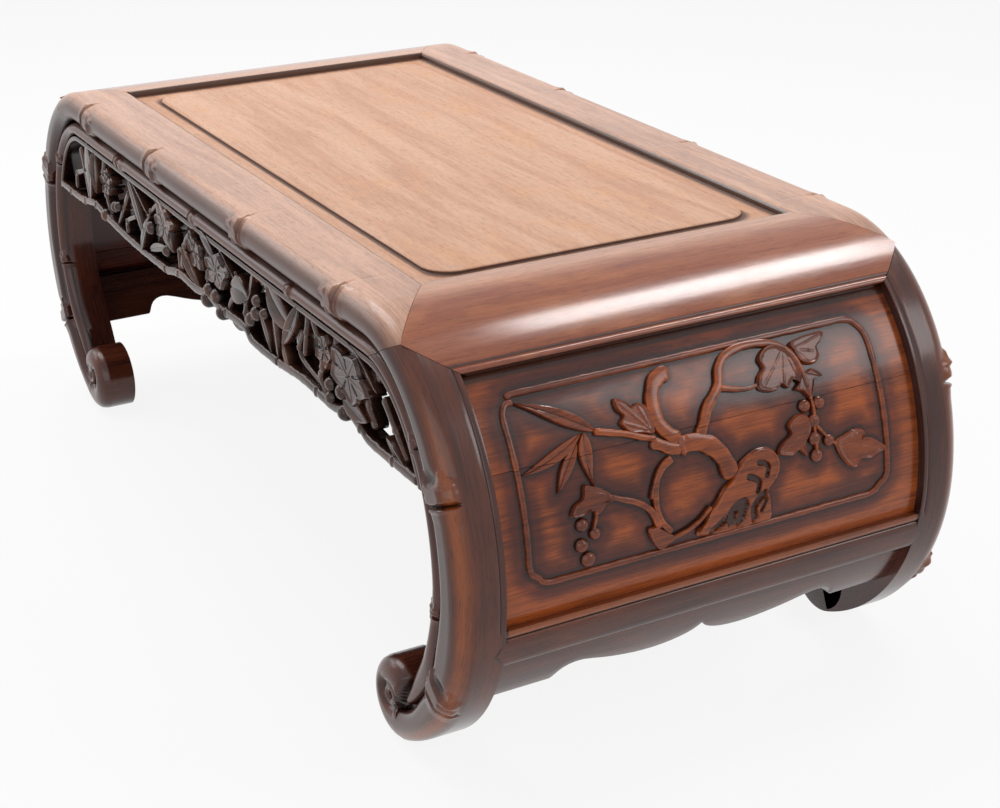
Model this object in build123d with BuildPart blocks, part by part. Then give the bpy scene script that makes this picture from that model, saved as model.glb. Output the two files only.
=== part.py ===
"""Kang table: a low table with rolled ends, C-curved scroll legs and bamboo-shaped mouldings.

Millimetres, +Z up. X runs along the table, Y across it. The origin is on the floor under the
middle of the top. One corner is modelled and mirrored to the other three.
"""
from build123d import *
import os
from math import asin, atan2, cos, degrees, hypot, radians, sin, sqrt

os.makedirs("parts", exist_ok=True)

# %% Overall form
table_height = 341
top_half_length = 336        # flat part of the top, from the middle to where the ends roll over
roll_length = 145            # how far the rolled ends reach out beyond the flat part
bulge_height = 163           # height of their furthest point
foot_tuck = 119              # axis of the foot scrolls, in from that furthest point
scroll_radius = 33
scroll_recess = 1            # face of the scroll behind the leg's crown
half_depth = 220             # middle of the top to the crown of the long mouldings

# %% Mouldings and frame
nosing_height = 29           # outer bamboo moulding on the long rails
bamboo_height = 13           # inner, thinner bamboo moulding under it
bamboo_setback = 4           # crown of the inner bamboo behind the crown of the outer one
bamboo_overlap = 2           # how far the inner bamboo runs in under the outer one
leg_nosing = 35              # outer bamboo on the leg, measured through the bulge
leg_bamboo = 14              # inner bamboo on the leg
leg_width = 39.5             # leg along Y, from the end panel to the crown
groove_foot_run = 36         # groove between the bamboos where it meets the scroll, from its axis
groove_foot_rise = 21
bamboo_foot_run = 16         # end of the inner bamboo on the scroll, from its axis
bamboo_foot_rise = 14
groove_rounding = 8          # rounding of the outer bamboo on its groove side
crown_rounding = 12          # rounding of the outer bamboo on its outer side
bamboo_rounding = 5          # rounding of the inner bamboo
rail_width = 60              # long rail, from the opening to the crown
frame_lip = 13               # flat of the end rail between the opening and the roll
corner_run = 56              # point where long rail, end rail and leg meet, beyond the flat top
corner_inset = 8             # the same point, in from the crown
joint_run = 1                # where the leg's joint line leaves the long rail, beyond the flat top
lip_run = 83                 # lower lip of the end rail, beyond the flat top

# %% Floating panel and its battens
panel_thickness = 16
panel_drop = 3.5             # raised field below the frame's top
channel_drop = 6.5           # channel round the field, below the frame's top
channel_width = 19
field_corner = 24
field_rounding = 2
tongue_cover = 4             # wood over the panel's tongue
tongue_thickness = 7
tongue_length = 8
batten_width = 30
batten_height = 17
batten_chamfer = 2
batten_spacing = 210
batten_tenon = 12
batten_tenon_width = 20
batten_tenon_height = 10

# %% End panels, rails and aprons
end_panel_inset = 6          # panel face behind the leg's face
end_panel_thickness = 12
end_panel_head = 3.5         # degrees that the panel runs up behind the end rail's lip
end_panel_foot = 2           # degrees that it runs down into the lower rail
end_panel_play = 0.2         # degrees of play at those two ends
board_joint_rise = 84        # joint between the panel's two boards, above the bulge
lower_rail_drop = 24         # top of the lower rail, below the bulge
lower_rail_height = 31
lower_rail_thickness = 22
lower_rail_tenon = 14
lower_tenon_turn = 2         # degrees that its tenon is set in from its edges
lower_tenon_inset = 8        # tenon behind the rail's face
point_length = 10            # pointed shoulders of the lower rail in the legs' faces
point_depth = 18             # the points' back, in from the bulge
point_top = 9                # the points' edges, in from the rail's edges
point_foot = 1
point_sink = 3               # tips of the points, below the middle of the rail
end_apron_inset = 7
end_apron_thickness = 12
end_apron_tongue = 6
end_apron_height = 41        # below the lower rail
end_apron_margin = 3         # extra board before its lower edge is shaped
apron_step = 13.5            # top of its side steps, above its lowest edge
apron_notch = 15.5           # tip of its middle notch, above its lowest edge
step_half_width = 108
step_run = 17
step_curve_run = 13
step_curve_rise = 9
lobe_half_width = 40
lobe_drop = 0                # lobes below the lowest edge
lobe_side_rise = 4
lobe_middle_rise = 5

# %% Carved long aprons
apron_face_setback = 7.5     # face of the apron behind the crown of the outer bamboo
apron_thickness = 14
apron_height = 70            # from the long rail down to the apron's ends on the legs
apron_border = 7
apron_top_band = 5
apron_tongue = 6
apron_tongue_height = 6
apron_tongue_root = 2
apron_tongue_shortfall = 18  # end of the tongue, in from the end of the flat top

# %% Joints
play = 0.1                   # gap round tongues and tenons
corner_key_length = 30
corner_key_width = 16
corner_key_thickness = 7
corner_key_shift = 13        # middle of the key, in from the middle of the mitre
corner_key_cover = 3         # wood between the key and the panel's groove
leg_tenon_length = 16
leg_tenon_width = 12
leg_tenon_height = 18
leg_tenon_run = 16           # middle of the tenon, beyond the flat top
leg_tenon_inset = 23         # middle of the tenon, in from the crown
leg_tenon_cover = 2          # wood over the tenon, under the three-way point
peg_radius = 2
peg_length = 16
peg_spacing = 150

# %% Worked-out places
rail_bottom = table_height - nosing_height - bamboo_height
bulge_half_length = top_half_length + roll_length
foot_half_length = bulge_half_length - foot_tuck
leg_inner_face = half_depth - leg_width
opening_half_length = top_half_length - frame_lip
opening_half_depth = half_depth - rail_width
corner_x = top_half_length + corner_run
corner_y = half_depth - corner_inset
joint_foot_x = top_half_length + joint_run
lip_half_length = top_half_length + lip_run
end_board_joint = bulge_height + board_joint_rise
lower_rail_top = bulge_height - lower_rail_drop
lower_rail_bottom = lower_rail_top - lower_rail_height
end_apron_foot = lower_rail_bottom - end_apron_height
roll_z = table_height - bulge_height
bamboo_crown = half_depth - bamboo_setback
apron_tongue_reach = top_half_length - apron_tongue_shortfall
apron_tip = rail_bottom - apron_height
apron_face = half_depth - apron_face_setback
leg_depth = leg_nosing + leg_bamboo
leg_top_depth = nosing_height + bamboo_height
channel_top = table_height - channel_drop
tongue_top = channel_top - tongue_cover
tongue_bottom = tongue_top - tongue_thickness
panel_bottom = table_height - panel_drop - panel_thickness

# Leg below the bulge: one arc that runs out into the scroll without a corner.
scroll_fall = bulge_height - scroll_radius
heel_radius = (foot_tuck ** 2 + scroll_fall ** 2 - scroll_radius ** 2) / (2 * (foot_tuck - scroll_radius))
heel_centre = Vector(bulge_half_length - heel_radius, bulge_height)
sole_turn = degrees(atan2(scroll_fall, heel_radius - foot_tuck))


def roll_height(x, inset=0):
    """Height of the rolled end's upper quarter at x, on the line that lies inset inside it."""
    return bulge_height + (roll_z - inset) * sqrt(1 - ((x - top_half_length) / (roll_length - inset)) ** 2)


def roll_reach(z, inset=0):
    """X of the rolled end's upper quarter at height z, on the line that lies inset inside it."""
    return top_half_length + (roll_length - inset) * sqrt(1 - ((z - bulge_height) / (roll_z - inset)) ** 2)


def roll_angle(z, inset=0):
    """Angle of the ellipse, in degrees, at height z."""
    return degrees(asin((z - bulge_height) / (roll_z - inset)))


def heel_turn(z, inset=0):
    """Angle below the bulge, in degrees, at height z on the heel's curve."""
    return degrees(asin((bulge_height - z) / (heel_radius - inset)))


def roll_line(x_inset, z_inset, start, end):
    """Upper quarter of the end's outline, between two angles."""
    centre = (top_half_length, bulge_height)
    return EllipticalCenterArc(
        centre, roll_length - x_inset, roll_z - z_inset, start_angle=start, arc_size=end - start)


def lower_line(inset, start, end):
    """Curve of the end under the bulge, from start to end in degrees below it."""
    return CenterArc(heel_centre, heel_radius - inset, -start, start - end)


lip = Vector(lip_half_length, roll_height(lip_half_length))
lip_outward = Vector((lip.X - top_half_length) / roll_length ** 2, (lip.Y - bulge_height) / roll_z ** 2)
lip_under = lip - lip_outward.normalized() * end_panel_inset
panel_high_angle = roll_angle(lip.Y) + end_panel_head
panel_low_turn = heel_turn(lower_rail_top) + end_panel_foot
board_angle = roll_angle(end_board_joint, end_panel_inset)

# %% Planes of the three-way mitre at a corner
corner = Vector(corner_x, -corner_y, roll_height(corner_x))
rail_slope = Vector(corner_x - joint_foot_x, 0, corner.Z - rail_bottom)
mitre_run = Vector(corner_x - opening_half_length, opening_half_depth - corner_y, 0)
joint_normal = Vector(-rail_slope.Z, 0, rail_slope.X).normalized()
mitre_normal = Vector(-mitre_run.Y, mitre_run.X, 0).normalized()
shared_line = joint_normal.cross(mitre_normal)
lip_corner = Vector(lip.X, -leg_inner_face, lip.Y)
cap_normal = shared_line.cross(lip_corner - corner).normalized()
if cap_normal.Z < 0:
    cap_normal = cap_normal * -1


def corner_plane(normal, side_x, side_y):
    """Plane through the three-way point of one corner; the signs choose the corner."""
    point = (corner.X * side_x, corner.Y * side_y, corner.Z)
    facing = (normal.X * side_x, normal.Y * side_y, normal.Z)
    return Plane(origin=point, z_dir=facing)


corners = [(1, 1), (-1, 1), (1, -1), (-1, -1)]

# %% Corner keys: loose tenons across the top frame's mitres
key_x = (opening_half_length + corner_x) / 2 - corner_key_shift
key_y = opening_half_depth + (key_x - opening_half_length) * (corner_y - opening_half_depth) / (
    corner_x - opening_half_length)
key_z = tongue_bottom - corner_key_cover - corner_key_thickness / 2
key_turn = degrees(atan2(mitre_normal.Y, mitre_normal.X))


def corner_key_boxes(gap):
    """One box across each mitre, grown by gap."""
    with BuildPart() as keys:
        for side_x, side_y in corners:
            turn = key_turn * side_x * side_y
            with Locations(Location((key_x * side_x, -key_y * side_y, key_z), (0, 0, turn))):
                Box(corner_key_length + 2 * gap, corner_key_width + 2 * gap, corner_key_thickness + 2 * gap)
    return keys.part


with BuildPart() as corner_keys:
    add(corner_key_boxes(0))
corner_keys.part.label = "corner_keys"
export_step(corner_keys.part, "parts/corner_keys.step")

# %% Battens under the panel, tenoned into the long rails
batten_places = [("left", -batten_spacing), ("centre", 0), ("right", batten_spacing)]
batten_z = panel_bottom - batten_height / 2

for name, x in batten_places:
    with BuildPart() as batten:
        with Locations((x, 0, batten_z)):
            Box(batten_width, 2 * opening_half_depth, batten_height)
        chamfer(batten.edges().filter_by(Axis.Y).group_by(Axis.Z)[0], batten_chamfer)
        with Locations((x, 0, batten_z)):
            Box(batten_tenon_width, 2 * (opening_half_depth + batten_tenon), batten_tenon_height)
    batten.part.label = "panel_batten_" + name
    export_step(batten.part, "parts/panel_batten_" + name + ".step")

# %% Floating top panel: raised field, channel and a tongue all round
with BuildPart() as top_panel:
    with BuildSketch(Plane.XY.offset(panel_bottom)):
        Rectangle(2 * (opening_half_length - play), 2 * (opening_half_depth - play))
    extrude(amount=channel_top - panel_bottom)
    with BuildSketch(Plane.XY.offset(tongue_bottom)):
        Rectangle(2 * (opening_half_length + tongue_length), 2 * (opening_half_depth + tongue_length))
    extrude(amount=tongue_thickness)
    with BuildSketch(Plane.XY.offset(channel_top)):
        field_length = 2 * (opening_half_length - channel_width)
        RectangleRounded(field_length, 2 * (opening_half_depth - channel_width), field_corner)
    extrude(amount=channel_drop - panel_drop)
    fillet(top_panel.faces().sort_by(Axis.Z)[-1].edges(), field_rounding)
top_panel.part.label = "top_panel"
export_step(top_panel.part, "parts/top_panel.step")

# %% Drawing of the carving on the long aprons, in X and Z seen from the front
# It is drawn on a board of this size and stretched to the apron.
drawn_reach = 418.7
drawn_top = 292
drawn_height = 70
# A stem or a branch is a run of points with its width.
stems = [
    (8, (-414, 226), (-345, 227), (-300, 234), (-262, 230), (-215, 227), (-165, 226), (-95, 227)),
    (8, (-95, 227), (-60, 234), (-20, 233), (8, 236), (45, 234), (95, 235), (112, 228), (165, 228)),
    (8, (165, 228), (215, 232), (270, 230), (300, 236), (322, 230), (340, 226), (412, 226)),
    (7, (-366, 232), (-362, 248), (-349, 254), (-326, 261)),
    (9, (-336, 283), (-326, 258), (-317, 229)),
    (12, (-268, 286), (-258, 230)),
    (6, (-196, 272), (-236, 228)),
    (6, (-203, 230), (-201, 243), (-172, 256)),
    (6, (-150, 262), (-111, 285)),
    (6, (-63, 234), (-61, 256), (-40, 250)),
    (6, (-52, 236), (-45, 264), (-13, 286)),
    (7, (8, 288), (5, 270), (2, 234)),
    (8, (72, 276), (78, 263), (60, 245), (55, 236)),
    (6, (101, 262), (96, 244), (106, 230)),
    (8, (116, 288), (135, 283), (150, 262), (140, 256)),
    (5, (140, 256), (126, 262), (111, 247), (98, 250)),
    (6, (228, 288), (218, 252)),
    (6, (211, 270), (203, 248), (241, 237)),
    (8, (233, 288), (243, 267), (244, 245), (262, 233)),
    (8, (281, 288), (268, 262)),
    (9, (352, 282), (327, 266), (323, 252), (330, 232)),
    (7, (354, 267), (391, 232)),
]
# A long leaf runs from tip to tip, with its width.
leaves = [
    (30, (-310, 294), (-318, 228)),
    (14, (-286, 290), (-292, 246)),
    (16, (-190, 290), (-148, 236)),
    (9, (-183, 289), (-138, 267)),
    (15, (-164, 225), (-129, 268)),
    (28, (-106, 291), (-70, 250)),
    (9, (-140, 232), (-80, 250)),
    (10, (-48, 262), (-8, 238)),
    (14, (0, 290), (38, 274)),
    (9, (40, 290), (80, 270)),
    (24, (70, 262), (110, 264)),
    (9, (66, 231), (100, 235)),
    (9, (120, 290), (98, 254)),
    (22, (150, 288), (200, 266)),
    (11, (131, 260), (152, 230)),
    (14, (158, 270), (165, 230)),
    (11, (213, 291), (176, 246)),
    (10, (176, 250), (190, 228)),
    (12, (296, 290), (348, 268)),
    (14, (290, 246), (332, 240)),
    (12, (-252, 282), (-250, 258)),
    (12, (360, 240), (396, 226)),
]
# A vine leaf is an ellipse: centre, length, height and tilt.
vine_leaves = [
    ((-253, 270), 18, 18, 0),
    ((-10, 270), 36, 22, -40),
    ((38, 266), 48, 24, 10),
    ((262, 272), 28, 24, 0),
    ((303, 266), 56, 26, -5),
]
# A berry is a centre and a radius.
berries = [
    ((-232, 249), 7), ((-222, 252), 6), ((-267, 231), 8),
    ((-129, 257), 8), ((-88, 247), 7),
    ((15, 242), 8), ((32, 241), 9), ((7, 231), 9), ((42, 230), 8),
    ((128, 268), 7), ((143, 262), 6), ((124, 256), 8), ((111, 247), 8),
    ((268, 247), 7), ((288, 248), 8), ((268, 236), 7), ((290, 232), 8),
]


def stem_bar(start, end, width):
    """Round-ended bar from one point to another."""
    run_x = end[0] - start[0]
    run_z = end[1] - start[1]
    with Locations(((start[0] + end[0]) / 2, (start[1] + end[1]) / 2)):
        SlotCenterToCenter(hypot(run_x, run_z), width, rotation=degrees(atan2(run_z, run_x)))


def leaf_blade(tip, end, width):
    """Leaf outline: two arcs from tip to tip."""
    run = Vector(end[0] - tip[0], end[1] - tip[1])
    middle = Vector(tip[0] + end[0], tip[1] + end[1]) * 0.5
    side = Vector(-run.Y, run.X).normalized() * (width / 2)
    with BuildLine() as outline:
        ThreePointArc(tip, middle + side, end)
        ThreePointArc(end, middle - side, tip)
    make_face(outline.edges())


# %% Apron pegs: round pegs that hold the carved aprons up under the long rails
peg_y = apron_face - apron_thickness / 2
peg_places = [(x, side * peg_y) for side in (-1, 1) for x in (-peg_spacing, 0, peg_spacing)]
peg_z = rail_bottom + apron_tongue_height


def peg_rods(gap):
    """Every apron peg, from the carved aprons up into the long rails, grown by gap."""
    with BuildPart() as rods:
        with BuildSketch(Plane.XY.offset(peg_z - peg_length / 2 - gap)):
            with Locations(peg_places):
                Circle(peg_radius + gap)
        extrude(amount=peg_length + 2 * gap)
    return rods.part


with BuildPart() as apron_pegs:
    add(peg_rods(0))
apron_pegs.part.label = "apron_pegs"
export_step(apron_pegs.part, "parts/apron_pegs.step")


# %% Legs
def leg_body():
    """Front right leg before its joints are cut: outer bamboo, inner bamboo and foot scroll."""
    inner_plane = Plane.XZ.offset(leg_inner_face)
    groove_foot = (foot_half_length + groove_foot_run, scroll_radius + groove_foot_rise)
    inner_foot = (foot_half_length + bamboo_foot_run, scroll_radius + bamboo_foot_rise)
    groove_bulge = (bulge_half_length - leg_nosing, bulge_height)
    inner_bulge = (bulge_half_length - leg_depth, bulge_height)
    mid_z = bulge_height + roll_z / 2
    with BuildPart() as body:
        with BuildSketch(inner_plane):
            with BuildLine():
                top = roll_line(0, 0, 0, 90)
                groove_top = roll_line(leg_nosing, nosing_height, 0, 90)
                Line(top @ 1, groove_top @ 1)
                back = lower_line(0, 0, sole_turn)
                groove = TangentArc(groove_bulge, groove_foot, tangent=(0, -1))
                Polyline(groove @ 1, (foot_half_length, scroll_radius), back @ 1)
            make_face()
        extrude(amount=leg_width)
        for reach, rounding in ((leg_nosing, groove_rounding), (0, crown_rounding)):
            front = body.faces().filter_by(Axis.Y).sort_by(Axis.Y)[0]
            near = (roll_reach(mid_z, reach), -half_depth, mid_z)
            fillet(front.edges().sort_by_distance(near)[0], rounding)
        with BuildSketch(inner_plane):
            with BuildLine():
                groove_top = roll_line(leg_nosing - bamboo_overlap, nosing_height - bamboo_overlap, 0, 90)
                inner_top = roll_line(leg_depth, leg_top_depth, 0, 90)
                Line(groove_top @ 1, inner_top @ 1)
                groove = TangentArc(groove_top @ 0, groove_foot, tangent=(0, -1))
                inner = TangentArc(inner_bulge, inner_foot, tangent=(0, -1))
                Line(groove @ 1, inner @ 1)
            make_face()
        extrude(amount=leg_width - bamboo_setback)
        near = (roll_reach(mid_z, leg_depth), -bamboo_crown, mid_z)
        fillet(body.edges().sort_by_distance(near)[0], bamboo_rounding)
        with BuildSketch(inner_plane):
            with Locations((foot_half_length, scroll_radius)):
                Circle(scroll_radius)
        extrude(amount=leg_width - scroll_recess)
    return body.part


def leg_tenon(gap):
    """Tenon on the front right leg's head, which stands up in the long rail, grown by gap."""
    middle_x = top_half_length + leg_tenon_run
    middle_y = half_depth - leg_tenon_inset
    middle_z = corner.Z - leg_tenon_cover - leg_tenon_height / 2
    with BuildPart() as tenon:
        with Locations((middle_x, -middle_y, middle_z)):
            Box(leg_tenon_length + 2 * gap, leg_tenon_width + 2 * gap, leg_tenon_height + 2 * gap)
    return tenon.part


def end_panel_section(gap, low_turn, low_angle, high_angle, half_width):
    """Curved board of an end panel, between two heights, grown by gap on its faces."""
    outer = end_panel_inset - gap
    back = end_panel_inset + end_panel_thickness + gap
    with BuildPart() as board:
        with BuildSketch(Plane.XZ.offset(half_width)):
            with BuildLine():
                outer_roll = roll_line(outer, outer, low_angle, high_angle)
                back_roll = roll_line(back, back, low_angle, high_angle)
                Line(outer_roll @ 1, back_roll @ 1)
                if low_turn > 0:
                    outer_heel = lower_line(outer, 0, low_turn)
                    back_heel = lower_line(back, 0, low_turn)
                    Line(outer_heel @ 1, back_heel @ 1)
                else:
                    Line(outer_roll @ 0, back_roll @ 0)
            make_face()
        extrude(amount=-2 * half_width)
    return board.part


def heel_section(inset, thickness, high_turn, low_turn, half_width):
    """Curved bar below the bulge, between two angles, from one side to the other."""
    with BuildPart() as bar:
        with BuildSketch(Plane.XZ.offset(half_width)):
            with BuildLine():
                face = lower_line(inset, high_turn, low_turn)
                rear = lower_line(inset + thickness, high_turn, low_turn)
                Line(face @ 0, rear @ 0)
                Line(face @ 1, rear @ 1)
            make_face()
        extrude(amount=-2 * half_width)
    return bar.part


rail_high_turn = heel_turn(lower_rail_top)
rail_low_turn = heel_turn(lower_rail_bottom)
tenon_high_turn = rail_high_turn + lower_tenon_turn
tenon_low_turn = rail_low_turn - lower_tenon_turn


def lower_rail_body(gap):
    """Lower right end rail with its pointed shoulders and its tenons, grown by gap."""
    turn = degrees(gap / heel_radius)
    point_z = (lower_rail_top + lower_rail_bottom) / 2 - point_sink
    low_z = lower_rail_bottom + point_foot - gap
    high_z = lower_rail_top - point_top + gap
    side = leg_inner_face
    tip = side + point_length + gap
    tenon_thickness = lower_rail_thickness - lower_tenon_inset + 2 * gap
    tenon_end = side + lower_rail_tenon + gap
    with BuildPart() as rail:
        add(heel_section(0, lower_rail_thickness + gap, rail_high_turn - turn, rail_low_turn + turn, side))
        tenon_inset = lower_tenon_inset - gap
        tenon_high = tenon_high_turn - turn
        tenon_low = tenon_low_turn + turn
        add(heel_section(tenon_inset, tenon_thickness, tenon_high, tenon_low, tenon_end))
        with BuildSketch(Plane.YZ.offset(bulge_half_length - point_depth)):
            with BuildLine():
                Polyline((-side, high_z), (-tip, point_z), (-side, low_z), close=False)
                Polyline((side, high_z), (tip, point_z), (side, low_z), close=False)
                Line((-side, high_z), (side, high_z))
                Line((-side, low_z), (side, low_z))
            make_face()
        extrude(amount=point_depth)
        with BuildSketch(Plane.XZ.offset(half_depth)):
            with Locations(heel_centre):
                Circle(heel_radius)
        extrude(amount=-2 * half_depth, mode=Mode.INTERSECT)
    return rail.part


def end_apron_body(reach, gap):
    """Curved board under the lower end rail, before its edge is shaped, grown by gap."""
    outer = end_apron_inset - gap
    rear = end_apron_inset + end_apron_thickness + gap
    low_turn = heel_turn(end_apron_foot - end_apron_margin, rear)
    with BuildPart() as board:
        with BuildSketch(Plane.XZ.offset(reach)):
            with BuildLine():
                face = lower_line(outer, tenon_low_turn, low_turn)
                back = lower_line(rear, tenon_low_turn, low_turn)
                Line(face @ 0, back @ 0)
                Line(face @ 1, back @ 1)
            make_face()
        extrude(amount=-2 * reach)
    return board.part


end_body = leg_body()
end_rail_cut = lower_rail_body(play)
end_apron_groove = end_apron_body(leg_inner_face + end_apron_tongue + play, play)

with BuildPart() as leg_front_right:
    add(end_body)
    split(bisect_by=corner_plane(joint_normal * -1, 1, 1), keep=Keep.TOP)
    split(bisect_by=corner_plane(cap_normal * -1, 1, 1), keep=Keep.TOP)
    add(leg_tenon(0))
    panel_reach = leg_inner_face + tongue_length + play
    add(end_panel_section(play, panel_low_turn, 0, panel_high_angle, panel_reach), mode=Mode.SUBTRACT)
    add(end_rail_cut, mode=Mode.SUBTRACT)
    add(end_apron_groove, mode=Mode.SUBTRACT)

leg_names = {
    "leg_front_right": (False, False),
    "leg_front_left": (True, False),
    "leg_back_right": (False, True),
    "leg_back_left": (True, True),
}
for name, (flip_x, flip_y) in leg_names.items():
    with BuildPart() as leg:
        add(leg_front_right.part)
        if flip_x:
            mirror(about=Plane.YZ, mode=Mode.REPLACE)
        if flip_y:
            mirror(about=Plane.XZ, mode=Mode.REPLACE)
    leg.part.label = name
    export_step(leg.part, "parts/" + name + ".step")

# %% Long rails of the top frame
with BuildPart() as panel_groove:
    with Locations((0, 0, (tongue_top + tongue_bottom) / 2)):
        groove_length = 2 * (opening_half_length + tongue_length + play)
        Box(groove_length, 2 * (opening_half_depth + tongue_length + play), tongue_thickness + 2 * play)

with BuildPart() as batten_mortises:
    with Locations([(x, 0, batten_z) for _, x in batten_places]):
        mortise_length = 2 * (opening_half_depth + batten_tenon + play)
        Box(batten_tenon_width + 2 * play, mortise_length, batten_tenon_height + 2 * play)

with BuildPart() as leg_mortises:
    add(leg_tenon(play))
    mirror(about=Plane.YZ)
    mirror(about=Plane.XZ)

with BuildPart() as apron_groove:
    with Locations((0, -peg_y, rail_bottom + apron_tongue_height / 2)):
        Box(2 * (apron_tongue_reach + play), apron_tongue + 2 * play, apron_tongue_height + 2 * play)

with BuildPart() as top_front_rail:
    nosing_bottom = table_height - nosing_height
    with BuildSketch(Plane.YZ.offset(-top_half_length)):
        with BuildLine():
            Line((-opening_half_depth, table_height), (-half_depth + crown_rounding, table_height))
            crown = RadiusArc(
                (-half_depth + crown_rounding, table_height),
                (-half_depth, table_height - crown_rounding),
                -crown_rounding)
            under = RadiusArc(
                (-half_depth, nosing_bottom + groove_rounding),
                (-half_depth + groove_rounding, nosing_bottom),
                -groove_rounding)
            Line(crown @ 1, under @ 0)
            bamboo_side = (-bamboo_crown, rail_bottom + bamboo_rounding)
            Polyline(under @ 1, (-bamboo_crown, nosing_bottom), bamboo_side)
            round_off = RadiusArc(
                bamboo_side,
                (-bamboo_crown + bamboo_rounding, rail_bottom),
                -bamboo_rounding)
            inner_foot = (-opening_half_depth, rail_bottom)
            Polyline(round_off @ 1, inner_foot, (-opening_half_depth, table_height))
        make_face()
    extrude(amount=2 * top_half_length)
    with BuildSketch(Plane.XZ.offset(opening_half_depth)):
        with BuildLine():
            shoulder = roll_line(0, 0, roll_angle(corner.Z), 90)
            Polyline(shoulder @ 1, (top_half_length, rail_bottom), (corner_x, rail_bottom), shoulder @ 0)
        make_face()
    extrude(amount=half_depth - crown_rounding - opening_half_depth)
    add(end_body)
    mirror(about=Plane.YZ)
    for side in (1, -1):
        split(bisect_by=corner_plane(joint_normal, side, 1), keep=Keep.TOP)
        split(bisect_by=corner_plane(mitre_normal * -1, side, 1), keep=Keep.TOP)
    add(panel_groove.part, mode=Mode.SUBTRACT)
    add(batten_mortises.part, mode=Mode.SUBTRACT)
    add(leg_mortises.part, mode=Mode.SUBTRACT)
    add(apron_groove.part, mode=Mode.SUBTRACT)
    add(corner_key_boxes(play), mode=Mode.SUBTRACT)
    add(peg_rods(play), mode=Mode.SUBTRACT)
top_front_rail.part.label = "top_front_rail"
export_step(top_front_rail.part, "parts/top_front_rail.step")

with BuildPart() as top_back_rail:
    mirror(top_front_rail.part, about=Plane.XZ)
top_back_rail.part.label = "top_back_rail"
export_step(top_back_rail.part, "parts/top_back_rail.step")

# %% End rails of the top frame, which roll over the ends
with BuildPart() as top_right_end_rail:
    with BuildSketch(Plane.XZ.offset(half_depth)):
        with BuildLine():
            shoulder = roll_line(0, 0, roll_angle(lip.Y), 90)
            under_corner = (opening_half_length, lip_under.Y)
            opening_edge = (opening_half_length, table_height)
            Polyline(shoulder @ 0, lip_under, under_corner, opening_edge, shoulder @ 1)
        make_face()
    extrude(amount=-2 * half_depth)
    for side in (1, -1):
        split(bisect_by=corner_plane(mitre_normal, 1, side), keep=Keep.TOP)
        split(bisect_by=corner_plane(cap_normal, 1, side), keep=Keep.TOP)
    panel_cut = end_panel_section(play, 0, board_angle, panel_high_angle + end_panel_play, panel_reach)
    add(panel_cut, mode=Mode.SUBTRACT)
    add(panel_groove.part, mode=Mode.SUBTRACT)
    add(corner_key_boxes(play), mode=Mode.SUBTRACT)
top_right_end_rail.part.label = "top_right_end_rail"
export_step(top_right_end_rail.part, "parts/top_right_end_rail.step")

# %% End panels: two curved boards, one above the other
panel_half_width = leg_inner_face + tongue_length

with BuildPart() as end_panel_upper_right:
    add(end_panel_section(0, 0, board_angle, panel_high_angle, panel_half_width))

with BuildPart() as end_panel_lower_right:
    add(end_panel_section(0, panel_low_turn - end_panel_play, 0, board_angle, panel_half_width))

# %% Lower end rail, with a groove for the panel above and for the apron below
with BuildPart() as end_rail_right:
    add(lower_rail_body(0))
    add(end_panel_section(play, panel_low_turn, 0, board_angle, half_depth), mode=Mode.SUBTRACT)
    add(end_apron_groove, mode=Mode.SUBTRACT)

# %% End apron: a board with side steps and two lobes that meet in a pointed notch
with BuildPart() as end_apron_right:
    apron_half_width = leg_inner_face + end_apron_tongue
    add(end_apron_body(apron_half_width, 0))
    step_foot = step_half_width + step_run
    step_z = end_apron_foot + apron_step
    lobe_z = end_apron_foot - lobe_drop
    with BuildSketch(Plane.YZ.offset(foot_half_length)):
        with BuildLine():
            for side in (-1, 1):
                Line((side * apron_half_width, end_apron_foot), (side * step_foot, end_apron_foot))
                ThreePointArc(
                    (side * step_foot, end_apron_foot),
                    (side * (step_half_width + step_curve_run), end_apron_foot + step_curve_rise),
                    (side * step_half_width, step_z))
                ThreePointArc(
                    (side * step_half_width, step_z),
                    (side * (step_half_width + lobe_half_width) / 2, lobe_z + lobe_side_rise),
                    (side * lobe_half_width, lobe_z))
                ThreePointArc(
                    (side * lobe_half_width, lobe_z),
                    (side * lobe_half_width / 3, lobe_z + lobe_middle_rise),
                    (0, end_apron_foot + apron_notch))
            Polyline(
                (-apron_half_width, end_apron_foot), (-apron_half_width, lower_rail_top),
                (apron_half_width, lower_rail_top), (apron_half_width, end_apron_foot))
        make_face()
    extrude(amount=bulge_half_length - foot_half_length, mode=Mode.INTERSECT)

right_parts = {
    "top_{}_end_rail": top_right_end_rail,
    "end_panel_upper_{}": end_panel_upper_right,
    "end_panel_lower_{}": end_panel_lower_right,
    "end_rail_{}": end_rail_right,
    "end_apron_{}": end_apron_right,
}
for pattern, right in right_parts.items():
    right.part.label = pattern.format("right")
    export_step(right.part, "parts/" + right.part.label + ".step")
    with BuildPart() as left:
        mirror(right.part, about=Plane.YZ)
    left.part.label = pattern.format("left")
    export_step(left.part, "parts/" + left.part.label + ".step")

# %% Carved long aprons: a frame on three sides, filled with stems, leaves and berries
apron_reach = roll_reach(apron_tip, leg_depth)


def carved_at(drawn):
    """Place on the apron of a point in the drawing."""
    across, up = drawn
    drop = (drawn_top - up) * apron_height / drawn_height
    return (across * apron_reach / drawn_reach, rail_bottom - drop)


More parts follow.
